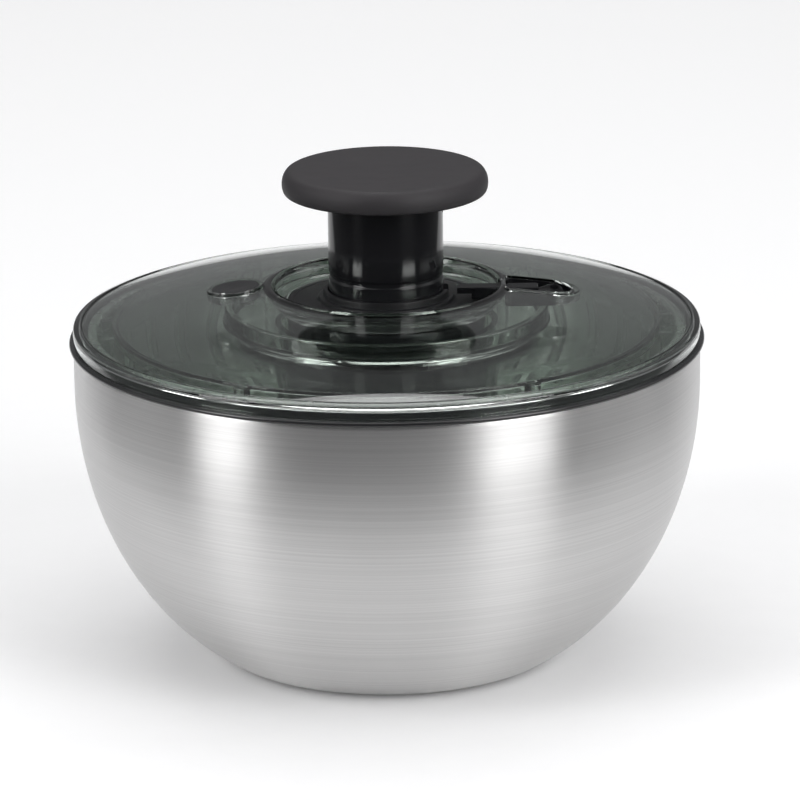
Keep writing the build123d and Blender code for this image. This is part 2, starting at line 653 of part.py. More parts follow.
NODES = {
    "bowl_shell": bowl_shell,
    "base_grip_ring": base_grip_ring,
    "basket_pivot_bearing": basket_pivot_bearing,
    "basket": basket,
    "lid_dome": lid_dome,
    "rim_gasket": rim_gasket,
    "guide_collar": guide_collar,
    "guide_sleeve": guide_sleeve,
    "mechanism_housing": mechanism_housing,
    "housing_base": housing_base,
    "housing_screws": housing_screws,
    "base_screws": base_screws,
    "shaft_bush": shaft_bush,
    "thrust_washer": thrust_washer,
    "helix_shaft": helix_shaft,
    "spring_seat": spring_seat,
    "return_spring": return_spring,
    "clutch_driver": clutch_driver,
    "clutch_ring": clutch_ring,
    "clutch_spring": clutch_spring,
    "drive_disc": drive_disc,
    "disc_bush": disc_bush,
    "retaining_washer": retaining_washer,
    "retaining_clip": retaining_clip,
    "plunger_tube": plunger_tube,
    "drive_nut": drive_nut,
    "follower_pins": follower_pins,
    "knob_core": knob_core,
    "knob_grip": knob_grip,
    "knob_screws": knob_screws,
    "brake_button": brake_button,
    "brake_shoe": brake_shoe,
    "brake_spring": brake_spring,
    "lock_tray": lock_tray,
    "lock_slider": lock_slider,
}

os.makedirs("parts", exist_ok=True)
for node, build in NODES.items():
    export_step(build(), f"parts/{node}.step")
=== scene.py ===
import logging
import math
from collections.abc import Callable, Sequence
from dataclasses import dataclass
from enum import Enum

import bmesh
import bpy
import numpy as np
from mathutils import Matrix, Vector


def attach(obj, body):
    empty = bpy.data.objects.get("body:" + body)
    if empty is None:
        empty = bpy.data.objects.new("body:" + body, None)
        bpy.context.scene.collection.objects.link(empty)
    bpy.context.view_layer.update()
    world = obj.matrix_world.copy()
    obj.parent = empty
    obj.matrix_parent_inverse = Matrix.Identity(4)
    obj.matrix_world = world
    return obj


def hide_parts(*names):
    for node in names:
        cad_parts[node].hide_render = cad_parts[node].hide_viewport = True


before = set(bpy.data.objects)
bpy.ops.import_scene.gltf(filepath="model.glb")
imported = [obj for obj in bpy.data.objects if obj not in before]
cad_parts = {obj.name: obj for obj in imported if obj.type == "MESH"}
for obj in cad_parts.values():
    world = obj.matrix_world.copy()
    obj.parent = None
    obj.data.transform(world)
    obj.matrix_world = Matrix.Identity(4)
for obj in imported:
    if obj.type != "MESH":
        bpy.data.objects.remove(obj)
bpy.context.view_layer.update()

# A pump-action salad spinner in metres, +Z up, standing on z = 0. Shapes are worked out
# in millimetres and scaled as a mesh is written.
MM = 0.001
TAU = 2 * math.pi
Array = np.ndarray
Corner = tuple[float, float, float]
LOG = logging.getLogger("salad_spinner")


class Slot(Enum):
    """Material slots of the record that the pieces take their finish from."""

    STEEL = "brushed_steel"
    CLEAR = "clear_plastic"
    FROSTED = "frosted_plastic"
    GLOSS = "gloss_black"
    SATIN = "satin_black"
    BLACK = "black_plastic"
    SOFT = "soft_touch"
    SILICONE = "black_silicone"
    NYLON = "white_nylon"
    ACETAL = "grey_acetal"
    HARDWARE = "steel_hardware"
    WIRE = "spring_steel"


# ---------------------------------------------------------------- finishes


class Tree:
    """A material's node tree with short calls for adding and linking nodes."""

    def __init__(self, name: str) -> None:
        """Start a material with a bare surface output.

        Args:
            name: the material's name.
        """
        self.material = bpy.data.materials.new(name)
        self.material.use_nodes = True
        self.nodes = self.material.node_tree.nodes
        self.nodes.clear()
        self.output = self.nodes.new("ShaderNodeOutputMaterial")

    def add(self, kind: str, settings: dict | None = None, **inputs: object) -> bpy.types.Node:
        """Add a node.

        Args:
            kind: the node's type without its ShaderNode prefix.
            settings: properties to set on the node itself.
            **inputs: socket values or the output sockets that feed them; an underscore
                in a name stands for a space.

        Returns:
            The new node.
        """
        node = self.nodes.new("ShaderNode" + kind)
        for key, value in (settings or {}).items():
            setattr(node, key, value)
        for key, value in inputs.items():
            self.feed(node, key.replace("_", " "), value)
        return node

    def feed(self, node: bpy.types.Node, socket: str | int, value: object) -> None:
        """Set a socket's value, or link an output socket to it."""
        if isinstance(value, bpy.types.NodeSocket):
            self.material.node_tree.links.new(value, node.inputs[socket])
        else:
            node.inputs[socket].default_value = value

    def coordinates(self, scale: Sequence[float], uv: str | None = None) -> bpy.types.NodeSocket:
        """Object coordinates, or a piece's own map, scaled on each axis."""
        if uv:
            source = self.add("UVMap", {"uv_map": uv}).outputs["UV"]
        else:
            source = self.add("TexCoord").outputs["Object"]
        return self.add("Mapping", Vector=source, Scale=tuple(scale)).outputs["Vector"]

    def noise(
        self, scale: float, detail: float = 3.0, stretch: Sequence[float] = (1, 1, 1), uv: str | None = None
    ) -> bpy.types.NodeSocket:
        """Fractal noise in the piece's own coordinates, stretched on each axis."""
        vector = self.coordinates(stretch, uv)
        return self.add("TexNoise", Vector=vector, Scale=scale, Detail=detail).outputs["Fac"]

    def ranged(self, value: bpy.types.NodeSocket, low: float, high: float) -> bpy.types.NodeSocket:
        """Remap noise about 0.3 to 0.7 onto low to high."""
        remap = self.add("MapRange", From_Min=0.3, From_Max=0.7, To_Min=low, To_Max=high, Value=value)
        return remap.outputs["Result"]

    def blend(
        self, factor: bpy.types.NodeSocket, first: Sequence[float], second: Sequence[float]
    ) -> bpy.types.NodeSocket:
        """A colour between two colours, chosen by factor."""
        mix = self.add("Mix", {"data_type": "RGBA"})
        self.feed(mix, 0, factor)
        self.feed(mix, 6, (*first, 1.0))
        self.feed(mix, 7, (*second, 1.0))
        return mix.outputs[2]

    def bump(
        self, height: bpy.types.NodeSocket, distance: float, strength: float = 1.0
    ) -> bpy.types.NodeSocket:
        """Surface relief of the given height in metres."""
        node = self.add("Bump", Height=height, Distance=distance, Strength=strength)
        return node.outputs["Normal"]

    def surface(self, shader: bpy.types.NodeSocket) -> bpy.types.Material:
        """Join a shader to the output and hand over the material."""
        self.feed(self.output, "Surface", shader)
        return self.material


@dataclass(frozen=True)
class BrushedSteel:
    """Steel brushed round its axis; the highlights spread up and down the wall."""

    name: str = "steel_brushed_round"
    light: Sequence[float] = (0.70, 0.695, 0.69)
    dark: Sequence[float] = (0.52, 0.517, 0.515)
    roughness: float = 0.35
    anisotropy: float = 0.87

    def make(self) -> bpy.types.Material:
        """Fine rings of brushing from noise drawn out round the wall, and faint blotches."""
        tree = Tree(self.name)
        rings = tree.noise(1.0, 4.0, (9000.0, 3.0, 1.0), "wall")
        coarse = tree.noise(1.0, 2.0, (1600.0, 2.0, 1.0), "wall")
        blotch = tree.noise(14.0, 3.0)
        shade = tree.add("Math", {"operation": "MULTIPLY_ADD"})
        tree.feed(shade, 0, rings)
        tree.feed(shade, 1, 0.6)
        tree.feed(shade, 2, tree.ranged(coarse, 0.0, 0.4))
        shader = tree.add(
            "BsdfPrincipled",
            Base_Color=tree.blend(shade.outputs[0], self.dark, self.light),
            Metallic=1.0,
            Roughness=tree.ranged(blotch, self.roughness - 0.02, self.roughness + 0.03),
            Anisotropic=self.anisotropy,
            Normal=tree.bump(rings, 0.000012),
        )
        tangent = tree.add("Tangent", {"direction_type": "UV_MAP", "uv_map": "wall"})
        tree.feed(shader, "Tangent", tangent.outputs[0])
        return tree.surface(shader.outputs[0])


@dataclass(frozen=True)
class ClearPlastic:
    """Clear or lightly hazed moulding that lets lamps through to what it covers."""

    name: str
    tint: Sequence[float] = (0.865, 0.905, 0.875)
    roughness: float = 0.015
    haze: float = 0.0
    ior: float = 1.49

    def make(self) -> bpy.types.Material:
        """Glass-like shader with faint handling smears, mixed with a clear shadow path."""
        tree = Tree(self.name)
        smear = tree.noise(38.0, 5.0, (1.0, 1.0, 3.0))
        flow = tree.noise(9.0, 1.0)
        shader = tree.add(
            "BsdfPrincipled",
            Base_Color=tree.blend(flow, self.tint, tuple(channel * 0.985 for channel in self.tint)),
            Roughness=tree.ranged(smear, self.roughness, self.roughness + 0.02 + self.haze),
            IOR=self.ior,
            Normal=tree.bump(flow, 0.00012),
        )
        shader.inputs["Transmission Weight"].default_value = 1.0
        clear = tree.add("BsdfTransparent", Color=(*self.tint, 1.0))
        lamp = tree.add("LightPath").outputs["Is Shadow Ray"]
        mix = tree.add("MixShader")
        tree.feed(mix, 0, lamp)
        tree.feed(mix, 1, shader.outputs[0])
        tree.feed(mix, 2, clear.outputs[0])
        return tree.surface(mix.outputs[0])


@dataclass(frozen=True)
class Moulded:
    """Opaque moulded plastic or rubber with a fine surface grain."""

    name: str
    colour: Sequence[float]
    roughness: float
    grain: float = 900.0
    relief: float = 0.00001
    specular: float = 0.5
    variation: float = 0.12

    def make(self) -> bpy.types.Material:
        """Even colour with slight clouding, grain relief and uneven gloss."""
        tree = Tree(self.name)
        cloud = tree.noise(26.0, 4.0)
        grain = tree.noise(self.grain, 3.0)
        lighter = tuple(min(1.0, channel * (1 + self.variation) + 0.002) for channel in self.colour)
        darker = tuple(channel * (1 - self.variation) for channel in self.colour)
        shader = tree.add(
            "BsdfPrincipled",
            Base_Color=tree.blend(cloud, darker, lighter),
            Roughness=tree.ranged(cloud, self.roughness * 0.88, self.roughness * 1.12),
            Normal=tree.bump(grain, self.relief),
        )
        shader.inputs["Specular IOR Level"].default_value = self.specular
        return tree.surface(shader.outputs[0])


@dataclass(frozen=True)
class PlainSteel:
    """Bare steel of screws, pins and wire, with drawn or turned marks."""

    name: str
    colour: Sequence[float]
    roughness: float
    stretch: Sequence[float]

    def make(self) -> bpy.types.Material:
        """Metal with stretched marks in its gloss and tone."""
        tree = Tree(self.name)
        marks = tree.noise(700.0, 4.0, self.stretch)
        darker = tuple(channel * 0.82 for channel in self.colour)
        shader = tree.add(
            "BsdfPrincipled",
            Base_Color=tree.blend(marks, darker, self.colour),
            Metallic=1.0,
            Roughness=tree.ranged(marks, self.roughness * 0.8, self.roughness * 1.2),
            Normal=tree.bump(marks, 0.000008),
        )
        return tree.surface(shader.outputs[0])


@dataclass(frozen=True)
class Backdrop:
    """Pale seamless studio sheet with painted light: it glows more with distance, and painted shade turns it
    near black in front.
    """

    name: str = "studio_sheet_painted_light"
    # front, narrowing and fade place the painted shade; the span and strength below set the painted light.
    front: float = 0.30
    narrowing: float = 2.1
    fade: tuple[float, float] = (-0.12, 0.07)
    painted_light_span: tuple[float, float] = (-0.3, 1.5)
    glow: float = 0.30

    def make(self) -> bpy.types.Material:
        """Nearly white matte paper with painted light: emission that grows with distance, up to the far end
        of its span, stands in for lamp light on the far floor.

        Painted shade: it turns near black in front of a parabola, y = narrowing x^2 - front.
        """
        tree = Tree(self.name)
        tooth = tree.noise(60.0, 3.0)
        place = tree.add("SeparateXYZ", Vector=tree.coordinates((1, 1, 1)))
        square = tree.add("Math", {"operation": "MULTIPLY"})
        tree.feed(square, 0, place.outputs["X"])
        tree.feed(square, 1, place.outputs["X"])
        past = tree.add("Math", {"operation": "MULTIPLY_ADD"})
        tree.feed(past, 0, square.outputs[0])
        tree.feed(past, 1, -self.narrowing)
        tree.feed(past, 2, place.outputs["Y"])
        front = tree.add(
            "MapRange",
            {"interpolation_type": "SMOOTHSTEP"},
            Value=past.outputs[0],
            From_Min=self.fade[0] - self.front,
            From_Max=self.fade[1] - self.front,
        )
        paper = tree.blend(tooth, (0.86, 0.86, 0.865), (0.88, 0.88, 0.885))
        # Painted shade: near black in front of the parabola, standing for the dark room that the bowl and
        # tube reflect.
        mix = tree.add("Mix", {"data_type": "RGBA"})
        tree.feed(mix, 0, front.outputs[0])
        tree.feed(mix, 6, (0.03, 0.03, 0.032, 1.0))
        tree.feed(mix, 7, paper)
        # Painted light: emission that grows with distance brightens the far floor in place of lamp light.
        near, far = self.painted_light_span
        glow = tree.add("MapRange", Value=place.outputs["Y"], From_Min=near, From_Max=far, To_Max=self.glow)
        shader = tree.add("BsdfPrincipled", Base_Color=mix.outputs[2], Roughness=0.7)
        shader.inputs["Specular IOR Level"].default_value = 0.03
        shader.inputs["Emission Color"].default_value = (1.0, 1.0, 1.0, 1.0)
        tree.feed(shader, "Emission Strength", glow.outputs[0])
        return tree.surface(shader.outputs[0])


FINISHES: dict[Slot, BrushedSteel | ClearPlastic | Moulded | PlainSteel] = {
    Slot.STEEL: BrushedSteel(),
    Slot.CLEAR: ClearPlastic("plastic_clear"),
    Slot.FROSTED: ClearPlastic("plastic_milky", (0.80, 0.84, 0.81), 0.22, 0.06),
    Slot.GLOSS: Moulded("black_polished", (0.006, 0.006, 0.007), 0.11, 420.0, 0.000004, 0.38),
    Slot.SATIN: Moulded("black_satin", (0.012, 0.012, 0.013), 0.36, 800.0, 0.00001, 0.35),
    Slot.BLACK: Moulded("black_textured", (0.02, 0.02, 0.021), 0.5, 1300.0, 0.00003),
    Slot.SOFT: Moulded("soft_touch_charcoal", (0.022, 0.0195, 0.022), 0.6, 1500.0, 0.00003, 0.4),
    Slot.SILICONE: Moulded("silicone_black", (0.012, 0.012, 0.013), 0.24, 600.0, 0.000006, 0.5),
    Slot.NYLON: Moulded("nylon_natural", (0.78, 0.77, 0.72), 0.4, 700.0, 0.00001, 0.5, 0.04),
    Slot.ACETAL: Moulded("acetal_grey", (0.28, 0.29, 0.30), 0.35, 700.0, 0.00001, 0.5, 0.06),
    Slot.HARDWARE: PlainSteel("steel_turned", (0.56, 0.56, 0.55), 0.28, (1, 1, 0.1)),
    Slot.WIRE: PlainSteel("steel_wire", (0.5, 0.5, 0.5), 0.3, (0.2, 0.2, 1)),
}
WELL_FINISH = Moulded("black_well_floor", (0.008, 0.008, 0.009), 0.42, 700.0, 0.00001, 0.2)
POCKET_FINISH = Moulded("black_pocket", (0.005, 0.005, 0.006), 0.45, 700.0, 0.00001, 0.06)
CATCH_FINISH = Moulded("black_catch", (0.006, 0.006, 0.007), 0.2, 500.0, 0.000006, 0.1)


class Finisher:
    """Makes each finish once and dresses pieces with it."""

    def __init__(self) -> None:
        """Start with nothing made."""
        self.made: dict[Slot, bpy.types.Material] = {}

    def material(self, slot: Slot) -> bpy.types.Material:
        """The slot's material, made on first use."""
        if slot not in self.made:
            self.made[slot] = FINISHES[slot].make()
        return self.made[slot]

    def dress_nodes(self, slot: Slot, *nodes: str) -> None:
        """Give carried-over CAD nodes the finish of their slot."""
        for node in nodes:
            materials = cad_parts[node].data.materials
            materials.clear()
            materials.append(self.material(slot))

    def place(
        self,
        piece: bpy.types.Object,
        slot: Slot,
        body: str,
        replaced: Sequence[str] = (),
        finish: Moulded | None = None,
    ) -> bpy.types.Object:
        """Finish a new piece: the material of its slot, the body it rides on, and hiding the nodes it stands
        for.

        Args:
            piece: the new mesh object.
            slot: its material slot.
            body: the CAD body that it moves with.
            replaced: CAD nodes that it stands for.
            finish: a finish of the piece's own in place of the slot's usual one.

        Returns:
            The same piece.
        """
        piece.data.materials.clear()
        piece.data.materials.append(finish.make() if finish else self.material(slot))
        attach(piece, body)
        if replaced:
            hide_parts(*replaced)
        LOG.info("%s: %d faces, rides on %s", piece.name, len(piece.data.polygons), body)
        return piece


# ---------------------------------------------------------------- surfaces


def rounded(corners: Sequence[Corner], closed: bool = True, steps: int = 5) -> Array:
    """Round an outline's corners.

    A corner P between neighbours A and B is swapped for the curve
    (1-s)^2 A' + 2s(1-s) P + s^2 B', where A' and B' lie on the two sides at the corner's
    rounding distance, held under half of each side.

    Args:
        corners: (radius, height, rounding) of each corner in millimetres.
        closed: whether the last corner joins the first.
        steps: spans in each rounded corner.

    Returns:
        Points of the outline, one row each.
    """
    points = np.array([corner[:2] for corner in corners], dtype=float)
    pieces = []
    for index, (_, _, rounding) in enumerate(corners):
        here = points[index]
        at_end = not closed and index in (0, len(corners) - 1)
        if rounding <= 0 or at_end:
            pieces.append(here[None, :])
            continue
        before = points[index - 1] - here
        after = points[(index + 1) % len(corners)] - here
        lengths = np.hypot(*before), np.hypot(*after)
        reach = min(rounding, 0.49 * lengths[0], 0.49 * lengths[1])
        start = here + before / lengths[0] * reach
        end = here + after / lengths[1] * reach
        s = np.linspace(0, 1, steps + 1)[:, None]
        pieces.append((1 - s) ** 2 * start + 2 * s * (1 - s) * here + s**2 * end)
    return np.concatenate(pieces)


def arc(centre: Sequence[float], radii: Sequence[float], turn: Sequence[float], steps: int) -> Array:
    """Points of an ellipse: centre + (radii cos a, radii sin a) for a over the turn in degrees."""
    angle = np.radians(np.linspace(turn[0], turn[1], steps + 1))
    return np.column_stack([centre[0] + radii[0] * np.cos(angle), centre[1] + radii[1] * np.sin(angle)])


def signed_area(outline: Array) -> float:
    """Twice the area of an outline, positive when it runs counter-clockwise."""
    following = np.roll(outline, -1, axis=0)
    return float(np.sum(outline[:, 0] * following[:, 1] - following[:, 0] * outline[:, 1]))


def write_mesh(name: str, points: Array, faces: Array, crease: float = 38.0) -> bpy.types.Object:
    """Make a mesh object from points in millimetres and four-cornered faces.

    Points that coincide are merged, so poles and seams close; faces that the merge
    collapses are dropped or become triangles.

    Args:
        name: the piece's name.
        points: one row per point, millimetres.
        faces: one row of four point numbers per face.
        crease: edges sharper than this angle in degrees stay sharp in the shading.

    Returns:
        The new object, at the origin.
    """
    mesh = bpy.data.meshes.new(name)
    mesh.from_pydata((points * MM).tolist(), [], faces.tolist())
    work = bmesh.new()
    work.from_mesh(mesh)
    bmesh.ops.remove_doubles(work, verts=work.verts, dist=1e-7)
    work.to_mesh(mesh)
    work.free()
    smooth(mesh, crease)
    mesh.validate()
    piece = bpy.data.objects.new(name, mesh)
    bpy.context.scene.collection.objects.link(piece)
    return piece


def smooth(mesh: bpy.types.Mesh, crease: float) -> None:
    """Shade a mesh smooth except at edges sharper than crease degrees."""
    mesh.polygons.foreach_set("use_smooth", np.ones(len(mesh.polygons), dtype=bool))
    mesh.set_sharp_from_angle(angle=math.radians(crease))


def point_rows(mesh: bpy.types.Mesh) -> Array:
    """A mesh's points in metres, one row each."""
    points = np.empty(len(mesh.vertices) * 3)
    mesh.vertices.foreach_get("co", points)
    return points.reshape(-1, 3)


def loop_points(mesh: bpy.types.Mesh) -> tuple[Array, Array]:
    """The point in millimetres at each face corner, and the number of corners of each face."""
    vertex = np.empty(len(mesh.loops), dtype=np.int32)
    mesh.loops.foreach_get("vertex_index", vertex)
    totals = np.empty(len(mesh.polygons), dtype=np.int32)
    mesh.polygons.foreach_get("loop_total", totals)
    return point_rows(mesh)[vertex] / MM, totals


def grid_faces(rows: int, columns: int, close_rows: bool, close_columns: bool) -> Array:
    """Faces of a grid whose point (row, column) is numbered row * columns + column."""
    row = np.arange(rows if close_rows else rows - 1)
    column = np.arange(columns if close_columns else columns - 1)
    down, along = np.meshgrid(row, column, indexing="ij")
    next_row, next_column = (down + 1) % rows, (along + 1) % columns
    corners = [
        down * columns + along,
        down * columns + next_column,
        next_row * columns + next_column,
        next_row * columns + along,
    ]
    return np.stack(corners, axis=-1).reshape(-1, 4)


def turned(
    name: str, outline: Array, sectors: int = 192, closed: bool = True, crease: float = 38.0
) -> bpy.types.Object:
    """Turn an outline about Z: point (r, z) at angle a goes to (r cos a, r sin a, z).

    Args:
        name: the piece's name.
        outline: (radius, height) rows in millimetres; an open one starts and ends on the axis.
        sectors: steps round the axis.
        closed: whether the outline's end joins its start.
        crease: shading crease angle in degrees.

    Returns:
        The turned object with its faces outward.
    """
    if signed_area(outline) < 0:
        outline = outline[::-1]
    angle = np.arange(sectors) * TAU / sectors
    radius, height = outline[:, :1], outline[:, 1:]
    points = np.stack(
        [radius * np.cos(angle), radius * np.sin(angle), np.broadcast_to(height, (len(outline), sectors))],
        axis=-1,
    ).reshape(-1, 3)
    return write_mesh(name, points, grid_faces(len(outline), sectors, closed, True), crease)


def bar_outline(start: float, end: float, radius: float, corner: float = 0.0, points: int = 64) -> Array:
    """A bar along X, counter-clockwise, with a half circle about (end, 0).

    Args:
        start: where the bar begins.
        end: middle of its rounded end.
        radius: half of its width.
        corner: rounding of the two corners at its beginning.
        points: number of points.

    Returns:
        (x, y) rows.
    """
    half = np.linspace(-math.pi / 2, math.pi / 2, points // 2)
    right = np.column_stack([end + radius * np.cos(half), radius * np.sin(half)])
    corner = min(corner, radius)
    quarter = np.linspace(0, math.pi / 2, points // 4)
    rise = radius - corner + corner * np.cos(quarter)
    away = start + corner - corner * np.sin(quarter)
    upper = np.column_stack([away, rise])
    lower = np.column_stack([away, -rise])[::-1]
    return np.concatenate([right, upper, lower])


def stacked(
    name: str, layers: Sequence[tuple[Array, Array | float]], crease: float = 38.0
) -> bpy.types.Object:
    """Join outlines stacked from the bottom up into one skin.

    Args:
        name: the piece's name.
        layers: for each row, its (x, y) outline and one height or that of each point; all
            outlines have the same number of points and run counter-clockwise. The first
            and last are collapsed to a line or a point, which closes the skin.
        crease: shading crease angle in degrees.

    Returns:
        The skin as an object.
    """
    rows = [np.column_stack([outline, np.broadcast_to(height, len(outline))]) for outline, height in layers]
    points = np.concatenate(rows)
    return write_mesh(name, points, grid_faces(len(rows), len(rows[0]), False, True), crease)


def prism(name: str, outline: Array, low: float, high: float, crease: float = 38.0) -> bpy.types.Object:
    """A closed upright prism on an (x, y) outline, from the low to the high level."""
    middle = np.repeat(outline.mean(axis=0)[None, :], len(outline), axis=0)
    return stacked(name, [(middle, low), (outline, low), (outline, high), (middle, high)], crease)


def turned_flat(outline: Array, turn: float) -> Array:
    """Turn an (x, y) outline about the axis."""
    spin = np.array([[math.cos(turn), math.sin(turn)], [-math.sin(turn), math.cos(turn)]])
    return outline @ spin


def coil(name: str, radius: float, wire: float, bottom: float, top: float, turns: float) -> bpy.types.Object:
    """Round wire wound about Z, its turns a little closer at both ends.

    For s from 0 to 1 the wire's middle is at angle 2 pi turns s and has risen by the
    share 0.75 s + 0.25 (1 - cos(pi s)) / 2 of its way; about it the section is
    (radius + wire cos b) outward and wire sin b upward. Both ends run in to a point.

    Args:
        name: the piece's name.
        radius: from the axis to the middle of the wire.
        wire: the wire's own radius.
        bottom: height of the lowest point of the wire.
        top: height of the highest point of the wire.
        turns: number of turns.

    Returns:
        The spring as an object.
    """
    s = np.linspace(0, 1, int(turns * 40))[:, None]
    b = (np.arange(10) * TAU / 10)[None, :]
    eased = 0.75 * s + 0.25 * (1 - np.cos(math.pi * s)) / 2
    middle = bottom + wire + (top - bottom - 2 * wire) * eased
    size = wire * np.clip(np.minimum(s, 1 - s) / 0.002, 0, 1)
    angle = TAU * turns * s
    out = radius + size * np.cos(b)
    points = np.stack([out * np.cos(angle), out * np.sin(angle), middle + size * np.sin(b)], axis=-1)
    piece = write_mesh(name, points.reshape(-1, 3), grid_faces(len(s), 10, False, True), 60)
    flip_if_inside_out(piece)
    return piece


def flip_if_inside_out(piece: bpy.types.Object) -> None:
    """Turn all faces round if the closed skin encloses a negative volume."""
    work = bmesh.new()
    work.from_mesh(piece.data)
    if work.calc_volume(signed=True) < 0:
        bmesh.ops.reverse_faces(work, faces=work.faces)
        work.to_mesh(piece.data)
    work.free()


def move_points(piece: bpy.types.Object, place: Callable[[Array], Array]) -> None:
    """Send every mesh point through place, which takes and returns an (n, 3) array."""
    piece.data.vertices.foreach_set("co", place(point_rows(piece.data)).ravel())
    piece.data.update()


def cut(piece: bpy.types.Object, tool: bpy.types.Object, operation: str) -> None:
    """Join a closed tool to a piece, or cut it away, and drop the tool.

    Args:
        piece: the object that is changed.
        tool: the closed object that changes it.
        operation: DIFFERENCE or UNION.
    """
    modifier = piece.modifiers.new("cut", "BOOLEAN")
    modifier.operation = operation
    modifier.solver = "EXACT"
    modifier.object = tool
    bake_modifiers(piece)
    bpy.data.objects.remove(tool)


def bake_modifiers(piece: bpy.types.Object) -> None:
    """Replace a piece's mesh by what its modifiers make of it."""
    graph = bpy.context.evaluated_depsgraph_get()
    made = bpy.data.meshes.new_from_object(piece.evaluated_get(graph))
    piece.modifiers.clear()
    piece.data = made


def merge(pieces: Sequence[bpy.types.Object], name: str) -> bpy.types.Object:
    """Put several meshes into one object, keeping each as its own closed skin."""
    work = bmesh.new()
    for piece in pieces:
        work.from_mesh(piece.data)
    mesh = bpy.data.meshes.new(name)
    work.to_mesh(mesh)
    work.free()
    for piece in pieces:
        bpy.data.objects.remove(piece)
    joined = bpy.data.objects.new(name, mesh)
    bpy.context.scene.collection.objects.link(joined)
    return joined


def ring_outline(inner: float, outer: float, bottom: float, top: float, rounding: float) -> Array:
    """Section of a plain ring with rounded corners."""
    corners = [(inner, bottom), (outer, bottom), (outer, top), (inner, top)]
    return rounded([(radius, height, rounding) for radius, height in corners])


# ---------------------------------------------------------------- sub-assemblies


@dataclass
class Bowl:
    """Drawn steel bowl with its non-slip foot."""

    finisher: Finisher
    radius: float = 133.1
    rim_height: float = 137.0
    turn_height: float = 120.5
    curve: tuple[float, float] = (104.75, 130.8)
    wall: float = 0.9
    foot: float = 1.5
    pivot: tuple[float, float] = (12.8, 9.5)

    def wall_line(self, inset: float, floor: float) -> Array:
        """Wall from the rim down: upright, then a quarter ellipse to the floor, moved in by inset."""
        width, height = self.curve[0] - inset, self.curve[1] - inset
        end = -math.degrees(math.asin((self.turn_height - floor) / height))
        curved = arc((self.radius - self.curve[0], self.turn_height), (width, height), (0, end), 72)
        straight = np.linspace(self.rim_height, self.turn_height, 8, endpoint=False)
        upright = np.column_stack([np.full(8, self.radius - inset), straight])
        return np.concatenate([upright, curved])

    def pivot_line(self, lower: float) -> Array:
        """Stamped boss from the floor up to the axis, lower by the wall on its underside."""
        radius, top = self.pivot
        floor = self.foot + self.wall - lower
        shift = lower * 0.5
        foot = [(60.0, floor, 0), (radius - shift, floor, 2.5)]
        crown = [(4.0 - shift, top - lower, 1.2), (0, top - lower, 0)]
        return rounded(foot + crown, closed=False)

    def build(self) -> None:
        """Make the wall as one closed skin with a map along and round it, then the foot."""
        outside = self.wall_line(0, self.foot)[::-1]
        inside = self.wall_line(self.wall, self.foot + self.wall)
        lip_x = self.radius - self.wall / 2
        lip = arc((lip_x, self.rim_height), (self.wall / 2, 0.3), (0, 180), 6)[1:-1]
        heel = self.heel(outside[0])
        outline = np.concatenate(
            [self.pivot_line(self.wall)[::-1], heel, outside[1:], lip, inside, self.pivot_line(0)]
        )
        wall = self.mapped_turn("bowl_wall", outline, 288)
        self.finisher.place(wall, Slot.STEEL, "bowl", ["bowl_shell"])
        grip = [(50.0, 0.0, 0.4), (67.0, 0.0, 0.5), (67.3, 1.5, 0.2), (49.7, 1.5, 0.2)]
        foot = turned("foot_ring", rounded(grip))
        self.finisher.place(foot, Slot.SILICONE, "bowl", ["base_grip_ring"])

    def heel(self, foot_point: Array) -> Array:
        """Small rounding where the wall meets the flat underside."""
        radius, height = foot_point
        corners = [(60.5, height, 0), (radius, height, 1.6), (radius + 1.1, height + 1.35, 0)]
        return rounded(corners, closed=False)

    def mapped_turn(self, name: str, outline: Array, sectors: int) -> bpy.types.Object:
        """Turn an outline that runs from axis to axis, with a map named wall.

        The map's first number is the length along the outline in metres and its second
        is the share of a full turn, so brushing follows the turning.
        """
        if signed_area(outline) < 0:
            outline = outline[::-1]
        piece = turned(name, outline, sectors, closed=False)
        mesh = piece.data
        points, totals = loop_points(mesh)
        turn = np.arctan2(points[:, 1], points[:, 0]) / TAU
        first = np.repeat(np.concatenate([[0], np.cumsum(totals)[:-1]]), totals)
        turn = turn - np.round(turn - turn[first])
        length = np.concatenate([[0], np.cumsum(np.hypot(*np.diff(outline, axis=0).T))])
        radius = np.hypot(points[:, 0], points[:, 1])
        gaps = (outline[None, :, 0] - radius[:, None]) ** 2 + (outline[None, :, 1] - points[:, 2:3]) ** 2
        along = length[np.argmin(gaps, axis=1)] * MM
        layer = mesh.uv_layers.new(name="wall")
        layer.data.foreach_set("uv", np.column_stack([along, turn]).ravel())
        return piece


